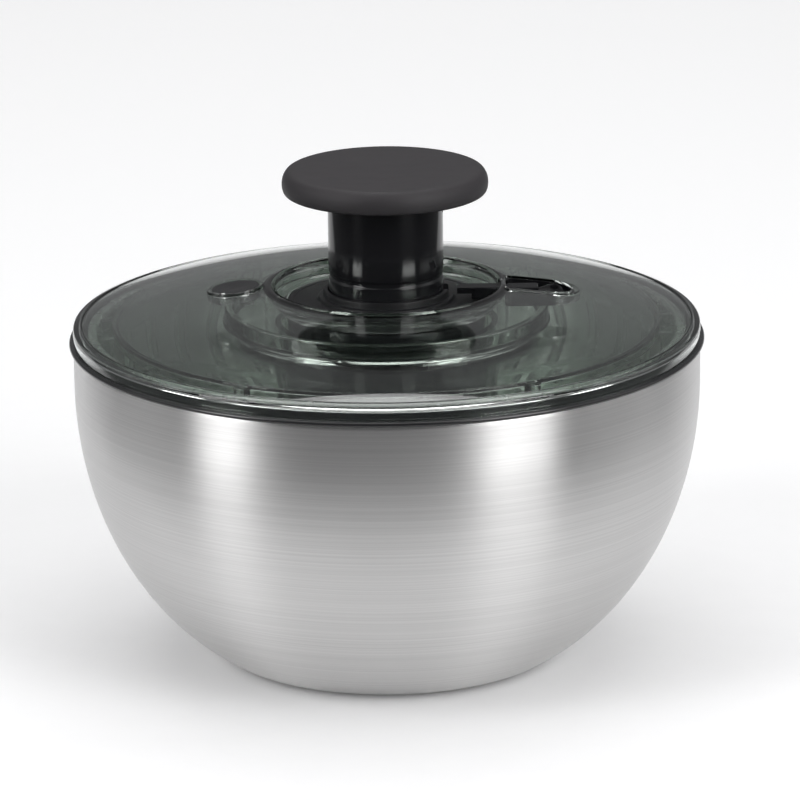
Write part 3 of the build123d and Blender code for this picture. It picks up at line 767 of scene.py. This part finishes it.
@dataclass
class Strainer:
    """Slotted basket that turns on a nylon bearing."""

    finisher: Finisher
    radius: float = 124.8
    rim_height: float = 142.0
    turn_height: float = 120.5
    curve: tuple[float, float] = (96.5, 120.0)
    wall: float = 2.0
    columns: int = 36
    slots: tuple[tuple[float, float], ...] = ((24.0, 50.0), (58.0, 98.0))
    windows: tuple[float, float] = (106.0, 125.5)
    floor_slots: tuple[float, float] = (22.0, 54.0)

    def outer_line(self) -> Array:
        """Outer face from the hub's foot out along the floor and up the wall to the rim."""
        floor = 8.0
        end = -math.degrees(math.asin((self.turn_height - floor) / self.curve[1]))
        curved = arc((self.radius - self.curve[0], self.turn_height), self.curve, (end, 0), 90)
        out = np.linspace(14.0, curved[0, 0], 34, endpoint=False)
        floor_line = np.column_stack([out, np.full(34, floor)])
        up = np.linspace(self.turn_height + 1, self.rim_height - 2.6, 12)
        return np.concatenate([floor_line, curved, np.column_stack([np.full(12, self.radius), up])])

    def snapped_line(self) -> Array:
        """The outer face with points moved onto every slot's ends."""
        line = self.outer_line()
        for height in [edge for tier in (*self.slots, self.windows) for edge in tier]:
            rows = np.flatnonzero(line[:, 1] > 9.0)
            row = rows[np.argmin(np.abs(line[rows, 1] - height))]
            share = (height - line[row, 1]) / (line[row + 1, 1] - line[row - 1, 1])
            line[row] = line[row] + share * (line[row + 1] - line[row - 1])
        return line

    def build(self) -> None:
        """Cut slots from the wall's grid, give it thickness, and add rim, hub and ribs."""
        line = self.snapped_line()
        angle, narrow, wide = self.column_angles()
        points = np.stack(
            [
                line[:, :1] * np.cos(angle),
                line[:, :1] * np.sin(angle),
                np.broadcast_to(line[:, 1:], (len(line), len(angle))),
            ],
            axis=-1,
        ).reshape(-1, 3)
        faces = grid_faces(len(line), len(angle), False, True)
        row, column = faces[:, 0] // len(angle), faces[:, 0] % len(angle)
        middle = (line[row] + line[np.minimum(row + 1, len(line) - 1)]) / 2
        in_slot = np.zeros(len(faces), dtype=bool)
        for low, high in self.slots:
            in_slot |= (middle[:, 1] > low) & (middle[:, 1] < high)
        every_other = (column // (len(angle) // self.columns)) % 2 == 0
        low, high = self.floor_slots
        in_slot |= (middle[:, 1] < 8.5) & (middle[:, 0] > low) & (middle[:, 0] < high) & every_other
        in_window = (middle[:, 1] > self.windows[0]) & (middle[:, 1] < self.windows[1])
        faces = faces[~((in_slot & narrow[column]) | (in_window & wide[column]))]
        wall = write_mesh("strainer_wall", points, faces, 30)
        thicken = wall.modifiers.new("wall", "SOLIDIFY")
        thicken.thickness = self.wall * MM
        thicken.offset = -1.0
        thicken.use_even_offset = True
        bake_modifiers(wall)
        whole = merge([wall, self.rim(), self.hub(), *self.ribs()], "strainer")
        self.finisher.place(whole, Slot.FROSTED, "basket", ["basket"])
        self.finisher.dress_nodes(Slot.NYLON, "basket_pivot_bearing")

    def column_angles(self) -> tuple[Array, Array, Array]:
        """Angles of the grid's columns, and which spaces between them are slot and window."""
        slot, window = 0.108, 0.376
        local = np.array([-window, -slot, -slot / 3, slot / 3, slot, window, 0.5])
        angle = (np.arange(self.columns)[:, None] + local[None, :]).ravel() * TAU / self.columns
        narrow = np.tile(np.array([0, 1, 1, 1, 0, 0, 0], dtype=bool), self.columns)
        wide = np.tile(np.array([1, 1, 1, 1, 1, 0, 0], dtype=bool), self.columns)
        return angle, narrow, wide

    def rim(self) -> bpy.types.Object:
        """Rolled edge round the top."""
        inner, outer, top = self.radius - self.wall, self.radius + 1.7, self.rim_height
        return turned("rim", ring_outline(inner, outer, top - 2.6, top, 0.9), 216)

    def hub(self) -> bpy.types.Object:
        """Socket over the pivot bearing, blended into the floor."""
        corners = [
            (14.2, 8.0, 0.3),
            (14.2, 10.0, 0),
            (12.6, 10.2, 1.0),
            (10.6, 18.6, 1.4),
            (0.0, 18.8, 0),
            (0.0, 16.8, 0),
            (8.05, 16.8, 0.2),
            (8.05, 9.3, 0.2),
            (11.0, 9.3, 0.2),
            (11.5, 8.0, 0.3),
        ]
        return turned("hub", rounded(corners), 72)

    def ribs(self) -> list[bpy.types.Object]:
        """Pairs of upright ribs inside the rim that the drive disc's tabs push on."""
        made = []
        for step in range(6):
            for side in (-1, 1):
                y = side * 4.6
                plain = np.array([[117.6, y - 0.9], [123.4, y - 0.9], [123.4, y + 0.9], [117.6, y + 0.9]])
                made.append(prism("rib", turned_flat(plain, step * TAU / 6), 128.0, 141.0, 20))
        return made


@dataclass
class Lid:
    """Clear domed lid with its seal, well, can, and the carried-over inner parts."""

    finisher: Finisher
    skirt: float = 133.2
    skirt_foot: float = 139.1
    crease: tuple[float, float] = (129.5, 145.7)
    dome_radius: float = 352.0
    dome_axis: float = 23.6
    wall: float = 2.2
    well_rim: tuple[float, float] = (49.4, 161.2)
    button_x: float = -64.0
    sleeve: tuple[float, float] = (10.6, 12.2)
    pocket: tuple[float, float] = (50.6, 69.2)
    pocket_radius: float = 10.0
    bezel_radius: float = 12.9

    def dome_height(self, radius: Array | float) -> Array | float:
        """Height of the dome's outer face: an arc about the circle (dome_axis, centre)."""
        lean = np.arcsin((np.asarray(radius) - self.dome_axis) / self.dome_radius)
        edge = math.asin((self.crease[0] - self.dome_axis) / self.dome_radius)
        return self.crease[1] + self.dome_radius * (np.cos(lean) - math.cos(edge))

    def dome_line(self, start: float, end: float, drop: float, steps: int) -> Array:
        """Points of the dome from one radius to another, lowered by drop."""
        radius = np.linspace(start, end, steps)
        return np.column_stack([radius, self.dome_height(radius) - drop])

    def outline(self) -> Array:
        """Section of the lid: skirt, rim bead, dome, well wall and well flange."""
        inner = self.skirt - 2.8
        bead = rounded(
            [
                (inner, self.skirt_foot, 0.4),
                (self.skirt, self.skirt_foot, 0.4),
                (self.skirt, 142.6, 0.2),
                (self.skirt - 0.1, 145.0, 1.0),
                (self.crease[0] + 0.35, 146.1, 0.35),
                (self.crease[0] - 0.15, 145.3, 0.2),
                (self.crease[0] - 0.6, float(self.dome_height(self.crease[0] - 0.6)), 0.3),
                (self.crease[0] - 1.2, float(self.dome_height(self.crease[0] - 1.2)), 0),
            ],
            closed=False,
        )
        dome = self.dome_line(self.crease[0] - 2.0, self.well_rim[0] + 3.0, 0, 48)
        lip = rounded(
            [
                (self.well_rim[0] + 2.2, float(self.dome_height(self.well_rim[0] + 2.2)), 0),
                (self.well_rim[0] + 1.0, self.well_rim[1] + 0.2, 1.0),
                (self.well_rim[0] - 0.7, self.well_rim[1] + 0.1, 1.3),
                (self.well_rim[0] - 1.6, self.well_rim[1] - 2.2, 1.2),
            ],
            closed=False,
        )
        well = arc((40.6, 163.4), (7.2, 8.7), (-17, -80), 18)
        under = rounded(
            [
                (41.8, 151.2, 0.2),
                (30.0, 151.2, 0.3),
                (30.0, 149.0, 0.3),
                (44.0, 149.0, 1.5),
                (49.0, 153.4, 3.0),
                (52.2, 158.6, 1.2),
            ],
            closed=False,
        )
        back = self.dome_line(55.0, inner - 3.0, self.wall, 40)
        corner = np.array([[inner - 2.0, float(self.dome_height(inner - 2.0)) - self.wall], [inner, 142.2]])
        return np.concatenate([bead, dome, lip, well, under, back, corner])

    def button_frame(self, points: Array) -> Array:
        """Carry points from the button's own frame, upright at its middle, onto the dome."""
        tilt = math.asin((abs(self.button_x) - self.dome_axis) / self.dome_radius)
        height = float(self.dome_height(abs(self.button_x))) * MM
        x, y, z = points.T
        turned_x = x * math.cos(tilt) - z * math.sin(tilt)
        turned_z = x * math.sin(tilt) + z * math.cos(tilt)
        return np.column_stack([turned_x + self.button_x * MM, y, turned_z + height])

    def bar(
        self,
        radius: float,
        start: float,
        low: float,
        high: Callable[[Array], Array] | float,
        corner: float,
        end: float | None = None,
    ) -> bpy.types.Object:
        """A closed bar along X, its top level or following a height rule.

        Args:
            radius: half of its width.
            start: where it begins.
            low: height of its underside.
            high: height of its top, or a rule that gives it from an outline.
            corner: rounding of the corners at its beginning.
            end: middle of its rounded end; the pocket's own unless given.

        Returns:
            The bar as an object.
        """
        end = self.pocket[1] if end is None else end
        edge = bar_outline(start, end, radius, corner)
        soft = bar_outline(start, end, radius - 0.5, corner)
        middle = bar_outline((start + end) / 2, end, 0.0)

        def top(outline: Array) -> Array | float:
            """The top's height over an outline."""
            return high(outline) if callable(high) else high

        layers = [(middle, low), (edge, low), (edge, top(edge) - 0.5), (soft, top(soft))]
        return stacked("bar", [*layers, (middle, top(middle))], 30)

    def build(self) -> None:
        """Make the lid's own pieces and dress the parts it carries."""
        self.build_dome()
        seal = [
            (128.5, 142.2, 0.4),
            (130.3, 142.2, 0.4),
            (130.3, 139.1, 0.1),
            (134.4, 139.1, 0.7),
            (135.0, 138.1, 0.7),
            (134.5, 137.0, 0.7),
            (131.7, 136.9, 0.3),
            (131.7, 133.2, 0.6),
            (130.7, 131.5, 0.6),
            (129.3, 131.5, 0.6),
            (128.5, 133.2, 0.6),
        ]
        gasket = turned("rim_seal", rounded(seal), 288)
        self.finisher.place(gasket, Slot.SILICONE, "lid", ["rim_gasket"])
        self.build_collar()
        self.build_can()
        self.build_liner()
        self.finisher.dress_nodes(Slot.BLACK, "guide_sleeve", "housing_base")
        self.finisher.dress_nodes(Slot.HARDWARE, "housing_screws", "base_screws", "thrust_washer")
        self.finisher.dress_nodes(Slot.NYLON, "shaft_bush")
        self.finisher.dress_nodes(Slot.WIRE, "brake_spring")

    def build_dome(self) -> None:
        """Turn the shell, then join the button's sleeve and the catch's bezel and open both."""
        shell = turned("dome_shell", self.outline(), 224)
        sleeve = turned("sleeve", ring_outline(self.sleeve[0] - 1.0, self.sleeve[1], -5.0, 0.95, 0.5), 64)
        move_points(sleeve, self.button_frame)
        cut(shell, sleeve, "UNION")
        bore = turned("bore", ring_outline(0, self.sleeve[0], -9, 9, 0), 64)
        move_points(bore, self.button_frame)
        cut(shell, bore, "DIFFERENCE")
        start = self.pocket[0]
        cut(shell, self.bar(self.bezel_radius, start - 0.6, 152.6, self.bezel_top, 3.0), "UNION")
        cut(shell, self.bar(self.pocket_radius, start, 150.0, 175.0, 2.6), "DIFFERENCE")
        cut(shell, self.bar(4.6, 39.6, 154.8, 160.2, 0.0), "DIFFERENCE")
        self.shade_dome(shell)
        self.finisher.place(shell, Slot.CLEAR, "lid", ["lid_dome"])

    def bezel_top(self, outline: Array) -> Array:
        """Top of the pocket's raised edge: the dome plus half a millimetre."""
        return self.dome_height(np.hypot(outline[:, 0], outline[:, 1])) + 0.5

    def shade_dome(self, shell: bpy.types.Object) -> None:
        """Give the dome's two faces the exact normals of its arc, so the cuts leave no ripple.

        A corner on a face that looks along the arc's own direction, from the circle
        (dome_axis, centre) to the point, takes that direction; others keep their shading.
        """
        mesh = shell.data
        smooth(mesh, 30)
        points, totals = loop_points(mesh)
        normals = np.empty(len(points) * 3)
        mesh.corner_normals.foreach_get("vector", normals)
        normals = normals.reshape(-1, 3)
        flat = np.empty(len(mesh.polygons) * 3)
        mesh.polygons.foreach_get("normal", flat)
        flat = np.repeat(flat.reshape(-1, 3), totals, axis=0)
        radius = np.hypot(points[:, 0], points[:, 1])
        lean = np.clip((radius - self.dome_axis) / self.dome_radius, -1, 1)
        rise = np.sqrt(1 - lean**2)
        exact = np.column_stack([points[:, 0] / radius * lean, points[:, 1] / radius * lean, rise])
        facing = np.sum(exact * flat, axis=1)
        inside = (radius > 53.0) & (radius < self.crease[0] - 2.5) & (np.abs(facing) > 0.985)
        normals[inside] = exact[inside] * np.sign(facing[inside])[:, None]
        mesh.normals_split_custom_set(normals.tolist())

    def build_collar(self) -> None:
        """Black floor of the well with the stepped collar; the tongue's slot is a real gap."""
        corners = [
            (24.7, 151.2, 0.2),
            (41.5, 151.2, 0.3),
            (41.5, 154.7, 0.5),
            (39.6, 154.75, 0.2),
            (39.2, 154.45, 0.2),
            (30.2, 154.45, 0.5),
            (29.0, 154.9, 0.5),
            (28.7, 156.5, 0.6),
            (26.9, 156.6, 0.4),
            (26.6, 159.5, 0.7),
            (24.7, 159.5, 0.4),
        ]
        collar = turned("well_collar", rounded(corners), 160)
        cut(collar, self.bar(4.4, 22.0, 156.8, 175.0, 0.0), "DIFFERENCE")
        smooth(collar.data, 35)
        self.finisher.place(collar, Slot.GLOSS, "lid", ["guide_collar"], WELL_FINISH)

    def build_liner(self) -> None:
        """Black liner of the catch's pocket: floor and wall, open at the tongue's slot."""
        radius, start = self.pocket_radius - 0.1, self.pocket[0] + 0.1
        rows = [(0.0, 152.6), (radius, 152.6), (radius, self.liner_top), (radius - 1.0, self.liner_top)]
        rows += [(radius - 1.1, 154.2), (radius - 1.3, 154.0), (0.0, 154.0)]
        layers = []
        for width, height in rows:
            inset = (radius - width) if width else (self.pocket[1] - start) / 2
            outline = bar_outline(start + inset, self.pocket[1], width, min(2.5, width))
            layers.append((outline, height(outline) if callable(height) else height))
        liner = stacked("catch_liner", layers, 35)
        cut(liner, self.bar(4.4, 30.0, 154.9, 160.6, 0.0, 56.0), "DIFFERENCE")
        self.finisher.place(liner, Slot.SATIN, "lid", ["lock_tray"], POCKET_FINISH)

    def liner_top(self, outline: Array) -> Array:
        """Top of the liner: a little under the dome."""
        return self.dome_height(np.hypot(outline[:, 0], outline[:, 1])) - 0.5

    def build_can(self) -> None:
        """Black can under the well, with a turned-in foot."""
        corners = [
            (30.0, 146.8, 0.2),
            (40.0, 146.8, 0.4),
            (40.0, 101.6, 0.2),
            (41.4, 101.5, 0.8),
            (42.0, 104.0, 0.8),
            (42.0, 148.0, 0.8),
            (41.2, 149.0, 0.6),
            (30.0, 149.0, 0.2),
        ]
        can = turned("can", rounded(corners), 160)
        self.finisher.place(can, Slot.GLOSS, "lid", ["mechanism_housing"])


@dataclass
class DriveDisc:
    """Clear disc that turns under the lid, with its drum, brake ring and tabs."""

    finisher: Finisher
    flange: tuple[float, float] = (143.0, 145.0)
    drum: tuple[float, float] = (44.5, 46.5)
    floor: float = 87.0
    edge: float = 116.0
    brake: tuple[float, float, float] = (65.0, 68.5, 151.5)

    def build(self) -> None:
        """Turn the disc as one section and add the tabs."""
        low, high = self.flange
        ring_in, ring_out, ring_top = self.brake
        corners = [
            (6.0, self.floor, 0.2),
            (self.drum[1], self.floor, 2.5),
            (self.drum[1], low, 1.2),
            (self.edge - 2.2, low, 0.6),
            (self.edge - 2.2, low - 3.0, 0.5),
            (self.edge, low - 3.0, 0.6),
            (self.edge, high, 0.8),
            (ring_out + 0.2, high, 0.8),
            (ring_out, ring_top, 0.7),
            (ring_in, ring_top, 0.7),
            (ring_in - 0.2, high, 0.8),
            (self.drum[0], high, 0.8),
            (self.drum[0], self.floor + 3.0, 2.0),
            (6.0, self.floor + 3.0, 0.2),
        ]
        body = turned("spin_disc", rounded(corners), 192)
        for step in range(6):
            cut(body, self.tab(step * TAU / 6), "UNION")
        smooth(body.data, 32)
        self.finisher.place(body, Slot.CLEAR, "drive_disc", ["drive_disc"])
        self.finisher.dress_nodes(Slot.NYLON, "clutch_ring", "disc_bush")

    def tab(self, turn: float) -> bpy.types.Object:
        """Downturned tab at the disc's edge, its outer corners rounded off."""
        plain = rounded([(114.6, -2.6, 0), (121.0, -2.6, 1.2), (121.0, 2.6, 1.2), (114.6, 2.6, 0)], steps=4)
        return prism("tab", turned_flat(plain, turn), 137.5, 144.9)


@dataclass
class Plunger:
    """Glossy tube with its soft-touch knob, nut, pins and return spring."""

    finisher: Finisher
    radius: float = 24.4
    wall: float = 2.0
    bottom: float = 146.0
    top: float = 203.5
    knob_radius: float = 43.7
    knob: tuple[float, float] = (201.3, 211.3)
    stroke: float = 36.0

    def build(self) -> None:
        """Make the tube, the knob's skin and the spring; dress the inner parts."""
        inner = self.radius - self.wall
        corners = [
            (0, self.top - 2.0, 0),
            (inner, self.top - 2.0, 0.6),
            (inner, self.bottom, 0.2),
            (26.9, self.bottom, 0.4),
            (26.9, 148.0, 0.3),
            (self.radius, 148.0, 0.3),
            (self.radius, 164.7, 0.3),
            (self.radius - 0.55, 165.3, 0.4),
            (self.radius - 0.55, 166.9, 0.4),
            (self.radius, 167.5, 0.3),
            (self.radius, self.top, 0.4),
            (0, self.top, 0),
        ]
        tube = turned("plunger_barrel", rounded(corners, closed=False), 160, closed=False)
        for low in (156.8, 156.8 + self.stroke):
            cut(tube, self.notch(low), "DIFFERENCE")
        smooth(tube.data, 35)
        self.finisher.place(tube, Slot.GLOSS, "plunger", ["plunger_tube"])
        self.build_skin()
        spring = coil("return_coil", 16.5, 0.8, 155.0, self.top - 2.05, 5.5)
        self.finisher.place(spring, Slot.WIRE, "plunger", ["return_spring"])
        self.finisher.dress_nodes(Slot.NYLON, "drive_nut")
        self.finisher.dress_nodes(Slot.HARDWARE, "follower_pins", "knob_screws")
        self.finisher.dress_nodes(Slot.BLACK, "knob_core")

    def notch(self, low: float) -> bpy.types.Object:
        """Cutter for one latch window in the tube's +X side."""
        plain = rounded([(19.0, -4.5, 0), (28.0, -4.5, 0), (28.0, 4.5, 0), (19.0, 4.5, 0)])
        return prism("notch", plain, low, low + 3.4)

    def build_skin(self) -> None:
        """Soft skin: dished top with a faint rim line, full side band, turned-in lower edge."""
        low, high = self.knob
        radius = self.knob_radius
        dish_radius = np.linspace(0.0, 36.0, 24)
        dish = np.column_stack([dish_radius, high - 0.95 * np.cos(dish_radius / 36.0 * math.pi / 2) ** 1.5])
        corners = [
            (37.2, high - 0.02, 0.4),
            (41.4, high - 0.15, 2.2),
            (radius - 0.25, high - 3.4, 2.6),
            (radius, low + 3.0, 2.4),
            (radius - 0.9, low, 2.0),
            (38.6, low, 0.4),
            (38.6, low + 0.6, 0.1),
            (40.72, low + 0.6, 0.1),
            (40.72, high - 2.4, 0.2),
            (0.0, high - 2.4, 0),
        ]
        side = rounded(corners, closed=False, steps=9)
        skin = turned("knob_skin", np.concatenate([dish, side]), 192, closed=False, crease=50)
        self.finisher.place(skin, Slot.SOFT, "plunger", ["knob_grip"])


@dataclass
class ScrewShaft:
    """Screw shaft with its clutch driver and fittings, carried over from the frame."""

    finisher: Finisher

    def build(self) -> None:
        """Dress the carried-over nodes."""
        self.finisher.dress_nodes(Slot.ACETAL, "helix_shaft", "clutch_driver")
        self.finisher.dress_nodes(Slot.NYLON, "spring_seat")
        self.finisher.dress_nodes(Slot.WIRE, "clutch_spring", "retaining_clip")
        self.finisher.dress_nodes(Slot.HARDWARE, "retaining_washer")


@dataclass
class BrakeButton:
    """Round brake button in its sleeve, with the rubber shoe."""

    finisher: Finisher
    lid: Lid
    radius: float = 10.3

    def build(self) -> None:
        """Turn the cap with a dished top in its own frame and tilt it onto the dome."""
        dish_radius = np.linspace(0.0, 8.2, 14)
        dish = np.column_stack([dish_radius, 0.8 - 0.5 * np.cos(dish_radius / 8.2 * math.pi / 2) ** 2])
        corners = [
            (8.9, 0.82, 0.4),
            (self.radius, 0.7, 0.8),
            (self.radius, -6.0, 0.4),
            (8.7, -6.0, 0.3),
            (8.7, -1.8, 0.6),
            (0.0, -1.8, 0),
        ]
        cap = turned("button_cap", np.concatenate([dish, rounded(corners, closed=False)]), 96, closed=False)
        move_points(cap, self.lid.button_frame)
        cut(cap, self.ring_gap(), "DIFFERENCE")
        smooth(cap.data, 35)
        self.finisher.place(cap, Slot.SATIN, "brake_button", ["brake_button"])
        self.finisher.dress_nodes(Slot.SILICONE, "brake_shoe")

    def ring_gap(self) -> bpy.types.Object:
        """Cutter for the gap in the skirt where the disc's brake ring passes."""
        plain = rounded([(-6.3, -12, 0), (1.8, -12, 0), (1.8, 12, 0), (-6.3, 12, 0)])
        gap = prism("gap", plain, -9.0, -2.2)
        move_points(gap, self.lid.button_frame)
        return gap


@dataclass
class Catch:
    """Sliding catch with a crescent thumb ridge and the tongue to the plunger."""

    finisher: Finisher
    centre: float = 69.6
    radius: float = 8.0
    start: float = 59.6
    low: float = 154.3

    def top(self, outline: Array) -> Array:
        """Height of the thumb plate.

        A shallow dish, plus a crescent ridge: a bell of height 2.4 about the circle of
        radius 5.2 centred near the plate's end, fading out towards the well.
        """
        x, y = outline.T
        away = np.hypot(x - (self.centre - 0.6), y)
        ridge = 2.4 * np.exp(-(((away - 5.2) / 1.15) ** 2)) * np.clip((x - self.centre + 3.2) / 3.0, 0, 1)
        return self.low + 2.2 - 0.35 * np.cos(np.clip(y / 7.6, -1, 1) * math.pi / 2) + ridge

    def build(self) -> None:
        """Make the plate from nested outlines under one height rule, and the stepped tongue."""
        start = self.start
        middle = (start + self.centre) / 2

        def nested(share: float) -> Array:
            """The plate's outline drawn in to a share of its size."""
            begin = middle + (start - middle) * share
            return bar_outline(begin, self.centre, self.radius * share, 1.5 * share, 96)

        layers = [(nested(0.0), self.low), (nested(1.0), self.low)]
        for share in np.concatenate([[1.0, 0.985, 0.96], np.linspace(0.93, 0.0, 26)]):
            outline = nested(float(share))
            drop = 0.5 if share == 1.0 else (0.15 if share > 0.98 else 0.0)
            layers.append((outline, self.top(outline) - drop))
        plate = stacked("plate", layers, 30)
        pieces = [plate, self.beam(36.2, 64.5, 155.0, 159.7, 0.5), self.beam(30.0, 37.4, 157.2, 159.68, 0.3)]
        slider = merge(pieces, "catch_slider")
        slider.data.polygons.foreach_set("use_smooth", np.ones(len(slider.data.polygons), dtype=bool))
        self.finisher.place(slider, Slot.GLOSS, "lock_slider", ["lock_slider"], CATCH_FINISH)

    def beam(self, start: float, end: float, low: float, high: float, rounding: float) -> bpy.types.Object:
        """Straight bar along X with rounded top edges."""
        half = 3.9
        corners = [(start, -half), (end, -half), (end, half), (start, half)]
        outline = rounded([(x, y, rounding) for x, y in corners], steps=3)
        middle = np.array([[(start + end) / 2, 0.0]])
        inner = middle + (outline - middle) * [1 - 2 * rounding / (end - start), 1 - rounding / half]
        point = np.repeat(middle, len(outline), axis=0)
        layers = [(point, low), (outline, low), (outline, high - rounding), (inner, high), (point, high)]
        return stacked("beam", layers, 35)


# ---------------------------------------------------------------- studio


@dataclass
class Studio:
    """Floor, soft boxes, surroundings and camera."""

    shot_distance: float = 2.4
    elevation: float = 15.6
    frame_width: float = 0.3402
    rim_height: float = 0.137
    roll: float = -0.65
    aim_right: float = 0.0053
    aim_low: float = 0.0264

    def build(self) -> None:
        """Set up everything that isn't the spinner."""
        self.build_floor()
        self.build_world()
        self.build_lamps()
        self.build_camera()
        bpy.context.scene.view_settings.view_transform = "Standard"

    def build_floor(self) -> None:
        """Pale floor as one wide flat grid; its material carries painted shade in front and painted light
        far off.
        """
        line = np.linspace(-4000, 4000, 9)
        x, y = np.meshgrid(line, line, indexing="ij")
        points = np.stack([x, y, np.full_like(x, -0.05)], axis=-1).reshape(-1, 3)
        faces = grid_faces(9, 9, False, False)[:, ::-1]
        floor = write_mesh("studio_floor", points, faces)
        floor.data.materials.append(Backdrop().make())

    def build_world(self) -> None:
        """Surroundings: a dim room, darkest behind the camera; the boxes do the lighting."""
        world = bpy.data.worlds.new("studio_room")
        world.use_nodes = True
        nodes, links = world.node_tree.nodes, world.node_tree.links
        nodes.clear()
        direction = nodes.new("ShaderNodeTexCoord")
        split = nodes.new("ShaderNodeSeparateXYZ")
        links.new(direction.outputs["Generated"], split.inputs[0])
        dark = nodes.new("ShaderNodeMapRange")
        dark.interpolation_type = "SMOOTHSTEP"
        dark.inputs["From Min"].default_value = -0.25
        dark.inputs["From Max"].default_value = 0.45
        links.new(split.outputs["Y"], dark.inputs["Value"])
        mix = nodes.new("ShaderNodeMix")
        mix.data_type = "RGBA"
        mix.inputs[6].default_value = (0.05, 0.05, 0.052, 1)
        mix.inputs[7].default_value = (0.20, 0.20, 0.205, 1)
        links.new(dark.outputs["Result"], mix.inputs[0])
        background = nodes.new("ShaderNodeBackground")
        links.new(mix.outputs[2], background.inputs["Color"])
        output = nodes.new("ShaderNodeOutputWorld")
        links.new(background.outputs[0], output.inputs[0])
        bpy.context.scene.world = world

    def lamp(
        self, name: str, azimuth: float, height: float, away: float, size: Sequence[float], power: float
    ) -> None:
        """Hang a rectangular soft box facing the spinner.

        Args:
            name: the lamp's name.
            azimuth: degrees round from the camera's side, positive to the right.
            height: height of its middle in metres.
            away: its distance from the axis in metres.
            size: width and height in metres.
            power: watts.
        """
        data = bpy.data.lights.new(name, "AREA")
        data.shape = "RECTANGLE"
        data.size, data.size_y = size
        data.energy = power
        lamp = bpy.data.objects.new(name, data)
        turn = math.radians(azimuth)
        lamp.location = (away * math.sin(turn), -away * math.cos(turn), height)
        aim = Vector((0, 0, 0.10)) - lamp.location
        lamp.rotation_euler = aim.to_track_quat("-Z", "Y").to_euler()
        bpy.context.scene.collection.objects.link(lamp)

    def build_lamps(self) -> None:
        """Tall boxes to the left and right make the bowl's streaks; overhead boxes light the floor."""
        self.lamp("box_left", -59, 0.75, 1.7, (0.64, 1.7), 20)
        self.lamp("box_left_fill", -92, 0.75, 1.8, (0.9, 1.7), 2.8)
        self.lamp("box_right", 46, 0.75, 1.7, (0.88, 1.7), 26)
        self.lamp("box_right_fill", 90, 0.75, 1.8, (1.3, 1.7), 5)
        self.lamp("box_top", 0, 2.4, 0.15, (2.4, 2.0), 29)
        self.lamp("box_rim", 180, 2.2, 1.35, (2.6, 0.5), 13)

    def build_camera(self) -> None:
        """Long lens from the front, a little above the rim, with a slight roll."""
        data = bpy.data.cameras.new("camera")
        data.sensor_width = 36.0
        data.lens = 36.0 * self.shot_distance / self.frame_width
        data.clip_end = 50.0
        camera = bpy.data.objects.new("camera", data)
        lift = math.radians(self.elevation)
        back, up = math.cos(lift), math.sin(lift)
        camera.location = (0, -self.shot_distance * back, self.rim_height + self.shot_distance * up)
        aim = Vector((self.aim_right, -self.aim_low * up, self.rim_height - self.aim_low * back))
        camera.rotation_euler = (aim - camera.location).to_track_quat("-Z", "Y").to_euler()
        camera.rotation_euler.rotate_axis("Z", math.radians(self.roll))
        bpy.context.scene.collection.objects.link(camera)
        bpy.context.scene.camera = camera


def main() -> None:
    """Build the studio and every sub-assembly in the order they go together."""
    logging.basicConfig(level=logging.INFO, format="%(name)s %(message)s")
    finisher = Finisher()
    Studio().build()
    lid = Lid(finisher)
    for assembly in (
        Bowl(finisher),
        Strainer(finisher),
        lid,
        DriveDisc(finisher),
        Plunger(finisher),
        ScrewShaft(finisher),
        BrakeButton(finisher, lid),
        Catch(finisher),
    ):
        assembly.build()
        LOG.info("%s is built", type(assembly).__name__)


if __name__ == "__main__":
    main()
